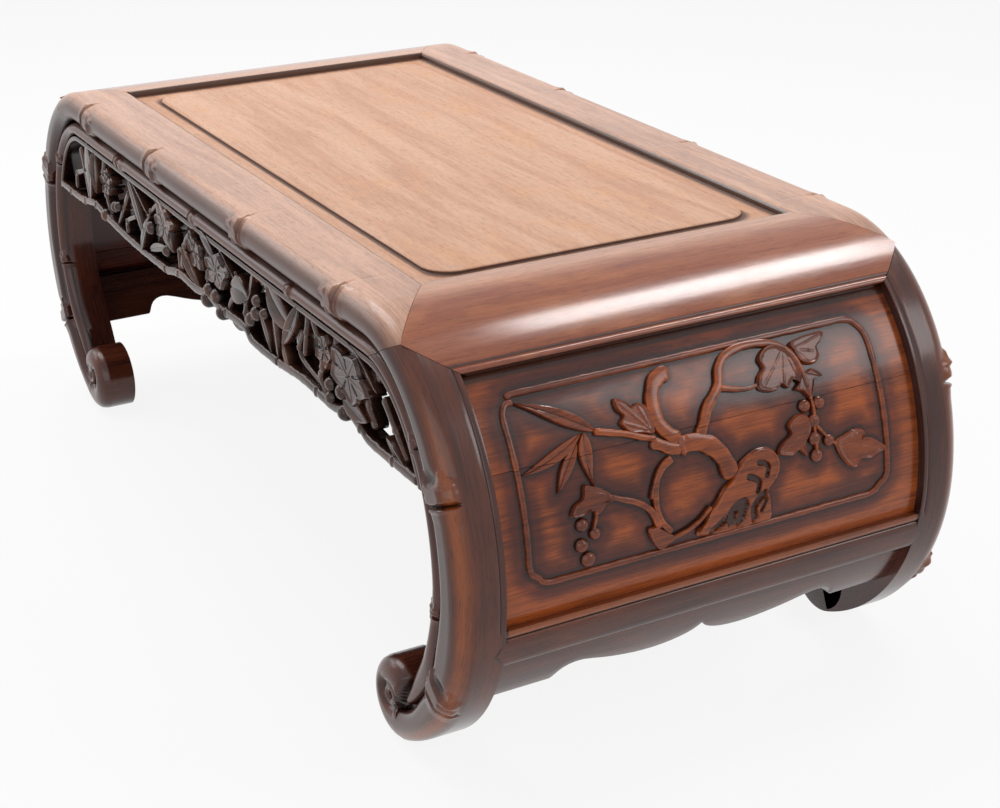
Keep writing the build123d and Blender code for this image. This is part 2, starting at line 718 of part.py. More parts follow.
def apron_outline(inset, top_inset, mode=Mode.ADD):
    """Top edge and the two curved ends that follow the legs' inner edges."""
    end_x = roll_length - leg_depth - inset
    end_z = roll_z - leg_top_depth - top_inset
    low_angle = degrees(asin((apron_tip - bulge_height) / end_z))
    with BuildLine() as outline:
        right = EllipticalCenterArc(
            (top_half_length, bulge_height), end_x, end_z, start_angle=low_angle, arc_size=90 - low_angle)
        left = EllipticalCenterArc(
            (-top_half_length, bulge_height), end_x, end_z, start_angle=90, arc_size=90 - low_angle)
        Line(right @ 1, left @ 0)
        Line(left @ 1, right @ 0)
    make_face(outline.edges(), mode=mode)


with BuildPart() as front_apron:
    with BuildSketch(Plane.XZ.offset(apron_face)):
        apron_outline(0, 0)
        apron_outline(apron_border, apron_top_band, mode=Mode.SUBTRACT)
        for width, *points in stems:
            for start, end in zip(points, points[1:]):
                stem_bar(carved_at(start), carved_at(end), width)
        for width, tip, end in leaves:
            leaf_blade(carved_at(tip), carved_at(end), width)
        for centre, length, height, tilt in vine_leaves:
            with Locations(carved_at(centre)):
                Ellipse(length / 2, height / 2, rotation=tilt)
        for centre, radius in berries:
            with Locations(carved_at(centre)):
                Circle(radius)
        apron_outline(0, 0, mode=Mode.INTERSECT)
    extrude(amount=-apron_thickness)
    with Locations((0, -peg_y, rail_bottom + (apron_tongue_height - play - apron_tongue_root) / 2)):
        Box(2 * apron_tongue_reach, apron_tongue, apron_tongue_height - play + apron_tongue_root)
    add(peg_rods(play), mode=Mode.SUBTRACT)
front_apron.part.label = "front_apron"
export_step(front_apron.part, "parts/front_apron.step")

with BuildPart() as back_apron:
    mirror(front_apron.part, about=Plane.XZ)
back_apron.part.label = "back_apron"
export_step(back_apron.part, "parts/back_apron.step")
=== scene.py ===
# %% [markdown]
# # Kang table
# A low hardwood table that stands on a heated brick platform. Its ends roll over, its mouldings are
# carved as bamboo, the long aprons are pierced with vines and leaves, and each end carries a relief of
# branches, grapes and a rock. The CAD model already holds every joint and board. This lesson gives each
# board its carved, polished skin: a mesh of its own that takes the board's place in the picture. All
# shapes are worked out in millimetres, in the same frame as the CAD model, and turned into metres when
# a piece is made.

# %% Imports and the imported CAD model
import math

import bmesh
import bpy
import numpy as np
from mathutils import Matrix, Vector


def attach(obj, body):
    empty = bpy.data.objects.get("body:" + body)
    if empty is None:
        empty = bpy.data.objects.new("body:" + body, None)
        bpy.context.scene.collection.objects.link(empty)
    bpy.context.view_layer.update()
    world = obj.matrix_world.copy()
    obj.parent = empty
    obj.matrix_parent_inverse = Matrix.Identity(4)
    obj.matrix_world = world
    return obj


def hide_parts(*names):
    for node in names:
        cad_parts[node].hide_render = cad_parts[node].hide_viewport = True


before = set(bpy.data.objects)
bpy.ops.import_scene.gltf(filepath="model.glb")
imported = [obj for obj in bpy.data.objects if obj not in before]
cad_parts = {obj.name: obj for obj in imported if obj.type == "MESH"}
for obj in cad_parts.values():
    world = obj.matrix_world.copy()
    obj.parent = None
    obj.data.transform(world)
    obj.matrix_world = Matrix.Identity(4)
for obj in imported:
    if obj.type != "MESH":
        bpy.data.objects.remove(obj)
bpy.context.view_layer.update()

# %% [markdown]
# ## A shape before it is a mesh
# A polished board shows its grain, its dark hollows and its rubbed edges. A picture could be laid over
# it, but that needs unwrapping and blurs close up. Here every point of a surface carries three values
# that the materials read later: `grain`, the place along and across the wood's fibres; a wear value,
# which is 1 on a rubbed, polished edge and falls to 0 in hollows, grooves and undersides, where it
# paints shade; and a tone value, which picks out places with a rubbed colour of their own and also
# paints light: the lit top faces of the frame and highlights along ridges, beads and rims.


# %% Gathering surfaces
class Shape:
    """Points, faces, grain, wear with painted shade, and tone with painted light of one piece, in
    millimetres.
    """

    def __init__(self):
        self.points, self.grain, self.wear, self.tone, self.faces, self.count = [], [], [], [], [], 0

    def grid(self, points, grain, wear, tone=0.0, wrap=False, caps=False):
        """Add a sheet over points[i, j]. wrap makes it a tube and caps closes the tube's ends."""
        rows, columns = points.shape[:2]
        index = self.count + np.arange(rows * columns).reshape(rows, columns)
        if wrap:
            index = np.hstack([index, index[:, :1]])
        quads = np.stack([index[:-1, :-1], index[1:, :-1], index[1:, 1:], index[:-1, 1:]], -1)
        self.faces += quads.reshape(-1, 4).tolist()
        if caps:
            self.faces += [index[0, :columns][::-1].tolist(), index[-1, :columns].tolist()]
        for kept, new in ((self.points, points), (self.grain, grain)):
            kept.append(np.asarray(new, float).reshape(-1, 3))
        for kept, new in ((self.wear, wear), (self.tone, tone)):
            kept.append(np.broadcast_to(np.asarray(new, float), (rows, columns)).ravel())
        self.count += rows * columns


# %% [markdown]
# ## From a shape to a piece of the table
# The table is made of boards that meet in hairline joints, and it has the same leg four times.
# `make_piece` turns a shape into a mesh, mirrors it where it is told to, and saws it back to the joint
# planes with `bisect_plane`, which leaves a true flat face there. A Boolean could do the same, but it
# is slower and less sure on thin carved forms. Edges that turn by more than 40 degrees stay crisp.

# %% Making a piece
joint_gap = 0.00016          # half of the hairline left at a joint, in metres
crisp_turn = 40              # degrees


def make_piece(name, shape, material, nodes=(), flip=(1, 1), cuts=()):
    """A Blender mesh of the shape, mirrored by flip and cut back to the kept side of each plane."""
    points = np.vstack(shape.points)
    mesh = bpy.data.meshes.new(name)
    mesh.from_pydata((points * [0.001 * flip[0], 0.001 * flip[1], 0.001]).tolist(), [], shape.faces)
    fibres = mesh.attributes.new("grain", "FLOAT_VECTOR", "POINT")
    fibres.data.foreach_set("vector", np.vstack(shape.grain).ravel())
    for kind, values in (("wear", shape.wear), ("tone", shape.tone)):
        level = mesh.attributes.new(kind, "FLOAT", "POINT")
        level.data.foreach_set("value", np.concatenate(values))
    mesh.materials.append(material)
    work = bmesh.new()
    work.from_mesh(mesh)
    for point, normal in cuts:
        facing = Vector((normal[0] * flip[0], normal[1] * flip[1], normal[2])).normalized()
        place = Vector((point[0] * flip[0], point[1] * flip[1], point[2])) * 0.001 + facing * joint_gap
        cut = bmesh.ops.bisect_plane(
            work, geom=work.verts[:] + work.edges[:] + work.faces[:],
            plane_co=place, plane_no=facing, clear_inner=True)
        rim = [part for part in cut["geom_cut"] if isinstance(part, bmesh.types.BMEdge)]
        bmesh.ops.triangle_fill(work, edges=rim, use_dissolve=False, use_beauty=True)
    bmesh.ops.recalc_face_normals(work, faces=work.faces[:])
    work.to_mesh(mesh)
    work.free()
    mesh.shade_smooth()
    mesh.set_sharp_from_angle(angle=math.radians(crisp_turn))
    thing = bpy.data.objects.new(name, mesh)
    bpy.context.scene.collection.objects.link(thing)
    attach(thing, "root")
    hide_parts(*nodes)
    print(name, len(mesh.polygons), "faces")


# %% [markdown]
# ## The table's own measures
# The long rails, the rolled ends and the C-curved legs share one outline: flat on top, a quarter of an
# ellipse over the end, and below the bulge one arc that runs out into the scroll foot. Drawing it as a
# Bezier curve by eye would be quick, but formulas keep every skin exactly on the CAD model's boards.

# %% Measures in millimetres
table_height = 341
flat_half = 336              # flat part of the top, to where the ends roll over
roll_run = 145               # how far the rolled ends reach beyond it
bulge_height = 163
half_depth = 220
opening_half_length = 323
opening_half_depth = 160
leg_inner_face = 180.5
rail_bottom = 299
panel_inset = 7.5            # ground of the end relief behind the legs' faces
board_joint = 247            # height of the joint between the two boards of an end panel
lower_rail_top, lower_rail_bottom = 139, 108
end_apron_foot = 67
apron_face = 212.5
apron_thickness = 14
scroll_centre = np.array([362.0, 33.0])
scroll_radius = 33
roll_rise = table_height - bulge_height
foot_tuck = flat_half + roll_run - scroll_centre[0]
scroll_fall = bulge_height - scroll_radius
heel_radius = (foot_tuck**2 + scroll_fall**2 - scroll_radius**2) / (2 * (foot_tuck - scroll_radius))
heel_centre = np.array([flat_half + roll_run - heel_radius, bulge_height])
sole_turn = math.degrees(math.atan2(scroll_fall, scroll_centre[0] - heel_centre[0]))
print("lower arc", round(heel_radius, 1), "mm, down to", round(sole_turn, 1), "degrees")


def roll_reach(z, inset=0.0):
    """X of the rolled end's outline at height z."""
    z = np.asarray(z, float)
    upper = np.sqrt(np.clip(1 - ((z - bulge_height) / (roll_rise - inset)) ** 2, 0, 1))
    lower = np.sqrt(np.clip((heel_radius - inset) ** 2 - (z - bulge_height) ** 2, 0, None))
    return np.where(z >= bulge_height, flat_half + (roll_run - inset) * upper, heel_centre[0] + lower)


def heel_point(depth, turn):
    """Point on the lower arc at turn degrees below the bulge, depth inside it."""
    a = np.radians(turn)
    reach = heel_radius - depth
    return heel_centre + np.column_stack([reach * np.cos(a), -reach * np.sin(a)])


# %% [markdown]
# ## The corner joint
# At each corner the long rail, the end rail and the leg meet in a three-way mitre, a joint that hides
# all of its tenons. Three planes through one point cut the pieces, so that their faces fit whatever is
# carved on them.


# %% Planes of the three-way joint at the front right corner
def roll_top(x):
    """Height of the rolled end's outline at x."""
    return bulge_height + roll_rise * math.sqrt(1 - ((x - flat_half) / roll_run) ** 2)


corner_x, corner_y = 392, 212
corner = np.array([corner_x, -corner_y, roll_top(corner_x)])
lip_x = 419
lip_z = roll_top(lip_x)
joint_normal = np.array([-(corner[2] - rail_bottom), 0, corner_x - flat_half - 1.0])
mitre_normal = np.array([corner_y - opening_half_depth, corner_x - opening_half_length, 0.0])
shared_line = np.cross(joint_normal, mitre_normal)
cap_normal = np.cross(shared_line, np.array([lip_x, -leg_inner_face, lip_z]) - corner)
cap_normal = cap_normal * np.sign(cap_normal[2])


def mirrored(normal, side_x, side_y):
    """The same plane at another corner: its point and its normal."""
    flip = np.array([side_x, side_y, 1])
    return corner * flip, normal * flip


print("the corner's three faces meet at", [round(float(v), 1) for v in corner])

# %% [markdown]
# ## Curves through a few points
# The carved lines of the table are long, easy curves. Bezier curves could be drawn by hand in the
# viewport, but every form below needs its points as plain numbers. `smooth` draws a soft curve through
# a few chosen points, and `lengths` tells how far along it each point lies.


# %% A soft curve and the distances along it
def smooth(points, spacing=2.0, closed=False):
    """Catmull-Rom curve through points, sampled about every spacing millimetres."""
    p = np.asarray(points, float)
    if closed:
        p = np.vstack([p[-1:], p, p[:2]])
    else:
        p = np.vstack([2 * p[0] - p[1], p, 2 * p[-1] - p[-2]])
    runs = []
    for a, b, c, d in zip(p, p[1:], p[2:], p[3:]):
        count = max(2, int(np.linalg.norm((c - b)[:2]) / spacing))
        t = np.arange(count)[:, None] / count
        bend = (2 * a - 5 * b + 4 * c - d) * t**2 + (3 * b - a - 3 * c + d) * t**3
        runs.append(0.5 * (2 * b + (c - a) * t + bend))
    if not closed:
        runs.append(p[-2:-1])
    return np.vstack(runs)


def lengths(points):
    """Distance along a run of points."""
    return np.r_[0, np.cumsum(np.linalg.norm(np.diff(points, axis=0), axis=1))]


arch = smooth([(0, 0), (10, 5), (20, 0)])
print("a curve through 3 points has", len(arch), "points and is", round(lengths(arch)[-1], 1), "mm long")

# %% [markdown]
# ## Bamboo mouldings
# Two mouldings follow the outline: a thick bamboo outside and a thin one inside it. A bevelled curve
# would make a tube of one width, but these change their width on the way down. So each is a band
# between two lines. Under the bulge the lines are given by how deep they lie inside the lower arc,
# degree by degree down to the foot; the thin bamboo ends there in a rounded tip on the scroll.

# %% The two bands, from the middle of the top to the foot
groove_depth = smooth([
    (0, 35), (9, 36.6), (18, 37.2), (25, 35.4), (33, 32.4), (45, 30.8), (53.5, 27.6), (59, 26.4),
    (64, 26.5), (70, 27)], 1)
bamboo_depth = smooth([
    (0, 50), (9, 51.4), (19, 51.8), (31, 51.4), (43, 49.5), (51, 44), (57, 37.5), (60.2, 31),
    (61.6, 27.4), (62.2, 26.8)], 1)
turns = np.radians(np.linspace(90, 0, 181))
flat = np.linspace(0, flat_half, 164)[:-1]


def band(near_inset, far_inset, near_depth, far_depth, end):
    """Table of distance, near line and far line; an inset is given across the bulge and below the top."""
    lines = []
    down = np.arange(0.5, end + 0.01, 0.5)
    for (across, drop), depth in ((near_inset, near_depth), (far_inset, far_depth)):
        top = np.column_stack([flat, np.full_like(flat, table_height - drop)])
        roll_x = flat_half + (roll_run - across) * np.cos(turns)
        roll_z = bulge_height + (roll_rise - drop) * np.sin(turns)
        roll = np.column_stack([roll_x, roll_z])
        inside = 0 * down if depth is None else np.interp(down, depth[:, 0], depth[:, 1])
        lines.append(np.vstack([top, roll, heel_point(inside, down)]))
    rows = np.hstack(lines)
    return np.column_stack([lengths(rows[:, :2]), rows])


bamboo_end = 62.0            # degrees below the bulge
outer_band = band((0, 0), (35, 29), None, groove_depth, sole_turn)
inner_band = band((35, 29), (50, 42), groove_depth, bamboo_depth, bamboo_end)
print("bands", round(outer_band[-1, 0]), "and", round(inner_band[-1, 0]), "mm long from the table's middle")

# %% [markdown]
# ## Where the nodes sit
# Real bamboo has a node every hand's width. The carver set them where the table's lines change: on the
# rails near the middle and the ends, on the legs above and below the bulge. The mesh needs small faces
# only there, so `stations` puts them close together near a node and far apart between nodes.


# %% Places of the nodes
def distance_at(table, value):
    """Distance along a band where its near line comes down to a height."""
    rows = table[table[:, 0] > flat_half]
    return rows[np.argmax(rows[:, 2] <= value), 0]


upper_node = distance_at(outer_band, 238)
foot_node = distance_at(outer_band, 64)
outer_nodes = [113, 297, upper_node, foot_node]
inner_rail_nodes = [-15, 205, -215]
inner_leg_nodes = [distance_at(inner_band, 261), distance_at(inner_band, 139)]
print("nodes at", [round(float(t)) for t in outer_nodes + inner_leg_nodes])


def stations(start, end, centres, fine=0.8, coarse=3.5, reach=36):
    """Distances along a band, close together near the nodes."""
    places, t = [], start
    while t < end:
        places.append(t)
        t += fine if min(abs(t - c) for c in centres) < reach else coarse
    return np.array(places + [end])


# %% [markdown]
# ## Soft steps and swellings
# A carver works with a few sweeps of the gouge: an edge that rounds off, a groove, a swelling.
# Modifiers such as Bevel could round the edges, but they can't place a bamboo node. Here each sweep is
# a small function of distance instead, so that every surface is simply a height worked out at many
# points. `step` is the soft switch from 0 to 1 that shapes every carved edge, and `hump` is a swelling.


# %% The two sweeps
def step(value, low, high):
    """Soft switch: 0 below low, 1 above high."""
    s = np.clip((value - low) / (high - low), 0, 1)
    return s * s * (3 - 2 * s)


def hump(value, centre, width):
    """Soft bump: 1 at centre, fading over width on both sides."""
    return np.exp(-(((value - centre) / width) ** 2))


print("halfway up a soft step:", step(0.5, 0, 1), "and beside a hump:", round(float(hump(1, 0, 1)), 2))

# %% [markdown]
# ## The form of a node
# A node is a thin ring lip, a groove, and a bud that lies on the side of the table's middle and ends in
# two pointed horns with a hollow facet between them. Sculpting it would suit one node, but there are
# dozens in two sizes, so it is a height worked out from its place: `q` runs along the moulding and
# `turn` round it, from 0 at its outer edge to 1 at the groove between the bamboos.


# %% Relief of one bamboo node
def node_relief(q, turn, leg):
    """Height of a node over the plain moulding, in millimetres; leg is 0 on the rails and 1 on the legs."""
    fade = step(turn, -0.02, 0.05) * (1 - leg * (1 - step(turn, 0.03, 0.16)))
    hollow = 2.6 + (1 - leg) * 4 * (1 - np.clip(turn, 0, 1)) ** 3
    lip = 1.3 * hump(q, 2.0, 1.5) + 0.7 * step(q, 0, 1.5) * (1 - step(q, 4, 14))
    notch = step(q, -hollow, -0.4 * hollow) * (1 - step(q, -0.9, 0.5))
    back = -q - hollow
    body = step(back, -0.2, 2.2) * (1 - step(back, 11, 19))
    body = body * step(turn, 0.1 - 0.06 * leg, 0.22 - 0.1 * leg)
    body = body * (1 - step(turn, 0.84 - 0.1 * leg, 0.95 - 0.08 * leg))
    swell = 0.75 + 0.25 * hump(back, 5, 5)
    horns = 0
    for centre, reach in ((0.34 - 0.12 * leg, 26), (0.74 - 0.1 * leg, 30)):
        along_horn = np.clip((back - 9) / (reach - 9), 0, 1)
        width = 0.085 * (1 - along_horn) + 0.012
        ridge = (back > 9) * hump(turn, centre + 0.02 * along_horn, width)
        horns = horns + ridge * step(back, 9, 13) * (1 - step(back, reach - 5, reach))
    facet = hump(turn, 0.54 - 0.1 * leg, 0.1) * hump(back, 19, 6.5)
    beside_horns = hump(back, 14, 8)
    ditch = hump(turn, 0.2 - 0.12 * leg, 0.05) * beside_horns + hump(turn, 0.92, 0.04) * beside_horns
    raised = lip * step(turn, 0, 0.08) + (2.5 + leg) * body * swell + (2.1 + leg) * horns
    return fade * (raised - (1.0 + leg) * facet - 0.8 * ditch - 3.0 * notch)


def nodes_along(t, turn, centres, leg=0.0, size=1.0):
    """Relief of all the nodes on one moulding, in millimetres, at size times the full size.

    A positive centre stands for two nodes, one on each side of the table's middle, and a negative one
    for a single node on the left.
    """
    total = np.zeros(np.broadcast(t, turn).shape)
    for centre in centres:
        q = (np.abs(t) - abs(centre)) if centre > 0 else -(t - centre)
        total = total + size * node_relief(q / size, turn, leg)
    return total


tallest = node_relief(np.linspace(-30, 5, 200)[:, None], np.linspace(0, 1, 60)[None], 0.0).max()
print("a rail's node rises", round(float(tallest), 1), "mm at most")

# %% [markdown]
# ## Sweeping the mouldings
# Each moulding is a section carried along its band: a flat outer face with a small bead at its inner
# edge, a rounded nosing, and a plain back. The section is worked out in steps round the nosing, and the
# nodes are added along its outward direction. That keeps the faces in neat rows, which the light shows
# as clean reflections.


# %% A section, and its way along a band
def along(table, t):
    """Rows of a table, whose first column is distance, at distance t."""
    return np.column_stack([np.interp(t, table[:, 0], column) for column in table[:, 1:].T])


def swept(table, t, share, width):
    """Points of a band: share goes from its near line to its far line, width is the distance from y = 0."""
    rows = along(table, np.abs(t[:, 0]))
    near, far = rows[:, None, 0:2], rows[:, None, 2:4]
    flatwise = near + (far - near) * share[..., None]
    return np.stack([flatwise[..., 0] * np.sign(t + 1e-9), -width, flatwise[..., 1]], -1)


def rounded_section(thick, near, far, fine=(16, 6, 16)):
    """Depth, fall and outward direction over a rounded section, and turn from 0 to 1 round it."""
    first = np.linspace(0, np.pi / 2, fine[0])[None]
    level = np.linspace(0, 1, fine[1] + 2)[None, 1:-1]
    last = np.linspace(np.pi / 2, np.pi, fine[2])[None]
    (r1, n1), (r2, n2) = near, far
    same = 0 * thick
    depth = np.hstack([
        same + r1 * (1 - np.cos(first)), r1 + (thick - r1 - r2) * level, thick - r2 - r2 * np.cos(last)])
    fall = np.hstack([same + n1 * (1 - np.sin(first)), same * level, same + n2 * (1 - np.sin(last))])
    angle = np.hstack([first, np.full_like(level, np.pi / 2), last])
    turn = np.hstack([first * 0.9 / np.pi, 0.45 + 0.1 * level, 0.1 + last * 0.9 / np.pi])
    return depth, fall, np.cos(angle), np.sin(angle), turn


# %% [markdown]
# The thick bamboo and the flat face beside it are one strip of wood, so they are one sheet: a small
# bead at the opening, the flat face, the nosing that turns from it into the groove, and the back. `leg`
# and `sole` change the roundness slowly on the way down, because the moulding gets slimmer towards the
# foot. The finish goes with the form: rubbed on the crest, and painted dark as shade in the groove and
# at the opening's edge. On the rails the flat top face and the top of the nosing are painted in a pale
# lit colour, and on the legs a painted highlight runs along the ridge.


# %% The thick outer bamboo
def outer_moulding(shape, t, inner_edge, bead, centres, top_light):
    """Add the thick bamboo: outer face from inner_edge, rounded nosing and flat back."""
    t = t[:, None]
    rows = along(outer_band, np.abs(t[:, 0]))
    thick = np.linalg.norm(rows[:, 2:] - rows[:, :2], axis=1)[:, None]
    leg = step(np.abs(t), flat_half - 30, 560)
    sole = step(np.abs(t), foot_node + 20, outer_band[-1, 0])
    near = (14.5 + 0.5 * leg, 14.5 + 4.5 * leg - 7.0 * sole)
    far = (14.5 - 3.5 * leg - 1.0 * sole, 14.5 - 2.0 * leg - 3.5 * sole)
    depth, fall, outwards, sideways, turn = rounded_section(thick, near, far)
    # Outer face: a small bead at its inner edge, then plain wood up to the nosing.
    bead_on = (rows[:, 1:2] > lower_rail_top) | (np.abs(t) < flat_half)
    face = np.r_[bead[:, 0], bead[-1, 0] + 3]
    brow = half_depth - near[1] + 0 * t
    notch = np.clip(-nodes_along(t, 0.1 + 0 * t, centres, leg), 0, 3) * (1 - leg)
    face_w = np.hstack([np.tile(inner_edge + face, (len(t), 1)), brow - 7, brow - 0.6])
    face_d = np.hstack([np.r_[bead[:, 1], 0][None] * bead_on, 0 * t, 0.6 * notch])
    slim = 1.8 * step(turn, 0.02, 0.3)
    raised = nodes_along(t, turn, centres, leg) - slim
    nose_d = np.maximum(depth - outwards * raised, 0.05 - 6 * step(np.abs(t), flat_half, flat_half + 60))
    nose_w = np.minimum(half_depth - fall + sideways * raised, half_depth - 0.1)
    back_w = np.tile(np.linspace(half_depth - 22, inner_edge, 4), (len(t), 1))
    width = np.hstack([face_w, nose_w, back_w])
    deep = np.hstack([face_d, nose_d, np.tile(thick, (1, 4))])
    # Painted shade and light: dark in the groove and at the opening's edge, a painted highlight along the
    # legs' ridge, and the pale lit colour on the rails' top face and the top of the nosing.
    edge_wear = 0.62 + 0.16 * raised + 0.25 * hump(turn, 0.3, 0.12) * leg
    wear_nose = edge_wear * (1 - 0.85 * step(turn, 0.8, 1.0))
    bead_wear = np.clip(0.72 + 0.6 * np.r_[-bead[:, 1], 0, 0, 0][None] * bead_on, 0, 1)
    wear = np.clip(np.hstack([bead_wear + 0 * face_w, wear_nose, np.full_like(back_w, 0.25)]), 0, 1)
    ridge = hump(turn, 0.2, 0.11) * leg
    lit = top_light * (1 - step(turn, 0.08, 0.4)) * (1 - leg)
    tone = np.hstack([top_light * (1 - leg) + 0 * face_w, np.clip(ridge + lit, 0, 1), 0 * back_w])
    points = swept(outer_band, t, deep / thick, width)
    grain = np.stack(np.broadcast_arrays(t, width, deep), -1)
    shape.grid(points, grain, wear, tone, wrap=True, caps=True)


# %% [markdown]
# The thin bamboo lies beyond the groove and stands a little less far out. A rod laid on would show a
# seam, so the wood behind it belongs to the same sheet. Its nodes are half as large, and near the foot
# it sinks and ends in a rounded tip.

# %% The thin inner bamboo
inner_crown = 216            # distance of its crest from y = 0
inner_foot = 205             # and of the flat wood beside it


def inner_moulding(shape, t, inner_edge, centres):
    """Add the thin bamboo and the wood behind it."""
    t = t[:, None]
    rows = along(inner_band, np.abs(t[:, 0]))
    thick = np.linalg.norm(rows[:, 2:] - rows[:, :2], axis=1)[:, None]
    tip = step(np.abs(t), inner_band[-1, 0] - 16, inner_band[-1, 0])
    half = thick / 2
    crown = inner_crown - 2.5 * step(np.abs(t), inner_band[-1, 0] - 90, inner_band[-1, 0]) - 7 * tip**2
    depth, fall, outwards, sideways, turn = rounded_section(thick, (half, 8), (half, 9), (10, 1, 12))
    raised = nodes_along(t, turn, centres, 0.0, 0.5) - 0.7
    away = step(turn, 0.03, 0.12)
    deep = depth - outwards * raised * away
    width = crown - fall + sideways * raised
    low = np.tile(np.linspace(inner_foot, inner_edge, 5), (len(t), 1))
    high = np.tile(np.linspace(inner_edge, inner_foot, 4), (len(t), 1))
    # The thin bamboo is rubbed lighter on its crest and painted darker as shade on its flanks, down into
    # the grooves beside it.
    wear = np.hstack([0.3 + 0.55 * sideways + 0.3 * raised + 0 * deep, 0.4 + 0 * low, 0.2 + 0 * high])
    width = np.hstack([width, low, high])
    deep = np.hstack([deep, thick + 0 * low, -0.5 + 0 * high])
    points = swept(inner_band, t, deep / thick, width)
    grain = np.stack(np.broadcast_arrays(t, width, deep + 40), -1)
    shape.grid(points, grain, np.clip(wear, 0, 1), wrap=True, caps=True)


# %% [markdown]
# ## Long rails
# The front rail carries both bamboos over the whole length and a little way down each end, to the
# mitre. It is swept past the joint on purpose: `make_piece` saws it off there later. The back rail is
# its mirror image.

# %% The front rail with its rolled corners
rail_bead = np.array([(0, 2.4), (0.8, 1.5), (2.0, 0.8), (3.4, 0.0)])
rail_end = flat_half + 84

front_rail = Shape()
rail_nodes = [sign * node for sign in (-1, 1) for node in outer_nodes[:2]]
outer_places = stations(-rail_end, rail_end, rail_nodes)
inner_places = stations(-rail_end, rail_end, inner_rail_nodes, reach=18)
outer_moulding(front_rail, outer_places, opening_half_depth, rail_bead, outer_nodes, 1.0)
inner_moulding(front_rail, inner_places, opening_half_depth, inner_rail_nodes)
print("front rail has", front_rail.count, "points")

# %% [markdown]
# ## Legs
# A leg is one board, sawn to a C and carved on its outer side. It carries both bamboos from the mitre
# down to the foot, on the same bands as the rail, so that they flow on without a break. One leg is made
# here, and the other three are its mirror images.

# %% One leg
leg_bead = np.array([
    (0, 0.7), (0.3, 0.15), (1.2, 0), (3.2, 0), (4.0, 0.35), (4.6, 0.9), (5.2, 0.35), (6.0, 0)])
sole_end, tip_end = outer_band[-1, 0], inner_band[-1, 0]

leg = Shape()
outer_places = stations(flat_half, sole_end, [upper_node, foot_node], coarse=2.5)
inner_places = stations(flat_half, tip_end, inner_leg_nodes + [tip_end], reach=18)
outer_moulding(leg, outer_places, leg_inner_face, leg_bead, outer_nodes, 0.0)
inner_moulding(leg, inner_places, leg_inner_face, inner_leg_nodes)
print("one leg has", leg.count, "points so far")

# %% [markdown]
# ## Scroll foot
# The foot is a drum that the leg's lines roll into. Its face is one soft dome with grooves: along the
# thin bamboo's inner side, round its tip, and a crescent round the eye in the middle. The face is
# worked out over rings of points, as the distance to the nearest groove line, because a groove cut with
# a Boolean would have no soft shoulders.

# %% The lines of the grooves
eye = np.array([362.0, 37.5])
beside_turns = np.arange(40, 62)
beside = heel_point(np.interp(beside_turns, bamboo_depth[:, 0], bamboo_depth[:, 1]), beside_turns)
throat = heel_point(np.array([26.5, 26.8, 27.0]), np.array([62.5, 64.5, sole_turn]))
crescent = smooth([
    (364.3, 27.4), (357.5, 27.6), (352, 31), (349.3, 36), (349.3, 41), (352, 45.5), (356, 48)], 0.8)
grooves = np.vstack([beside, throat, crescent])
last_point = len(crescent) - 1
crescent_deep = 8 * (1 - step(np.arange(len(crescent)), last_point - 8, last_point))
groove_deep = np.r_[np.full(len(beside), 11.0), [9, 8, 8], crescent_deep]
print("grooves run", round(float(lengths(beside)[-1] + lengths(crescent)[-1])), "mm on each foot")


# %% [markdown]
# Two more helpers are needed here. `rounding` is how far a quarter-ellipse edge falls away, and
# `nearest` finds the closest point of a line.


# %% A rounded edge, and distances to a line
def rounding(distance, reach, drop):
    """Fall of an edge rounded as a quarter ellipse, reach wide and drop deep, at a distance from it."""
    s = np.clip(1 - distance / reach, 0, 1)
    return drop * (1 - np.sqrt(1 - s * s))


def nearest(points, line):
    """Distance from each point to a run of points, and the number of the nearest one."""
    apart = np.linalg.norm(np.asarray(points)[:, None] - line[None], axis=2)
    return apart.min(1), apart.argmin(1)


print("a rounded edge, halfway in, falls by", round(float(rounding(0.5, 1, 1)), 3), "of its depth")

# %% [markdown]
# For each point of the face, `scroll_face` works out how deep the nearest groove cuts it, whether it
# lies in the hollow inside the crescent, and whether the thin bamboo covers it. The eye in the middle
# is a small ring with a pupil. The same distances give the wear and the painted shade: the grooves, the
# valley round the eye and the pupil are painted dark as shade, and the wood between them is rubbed.


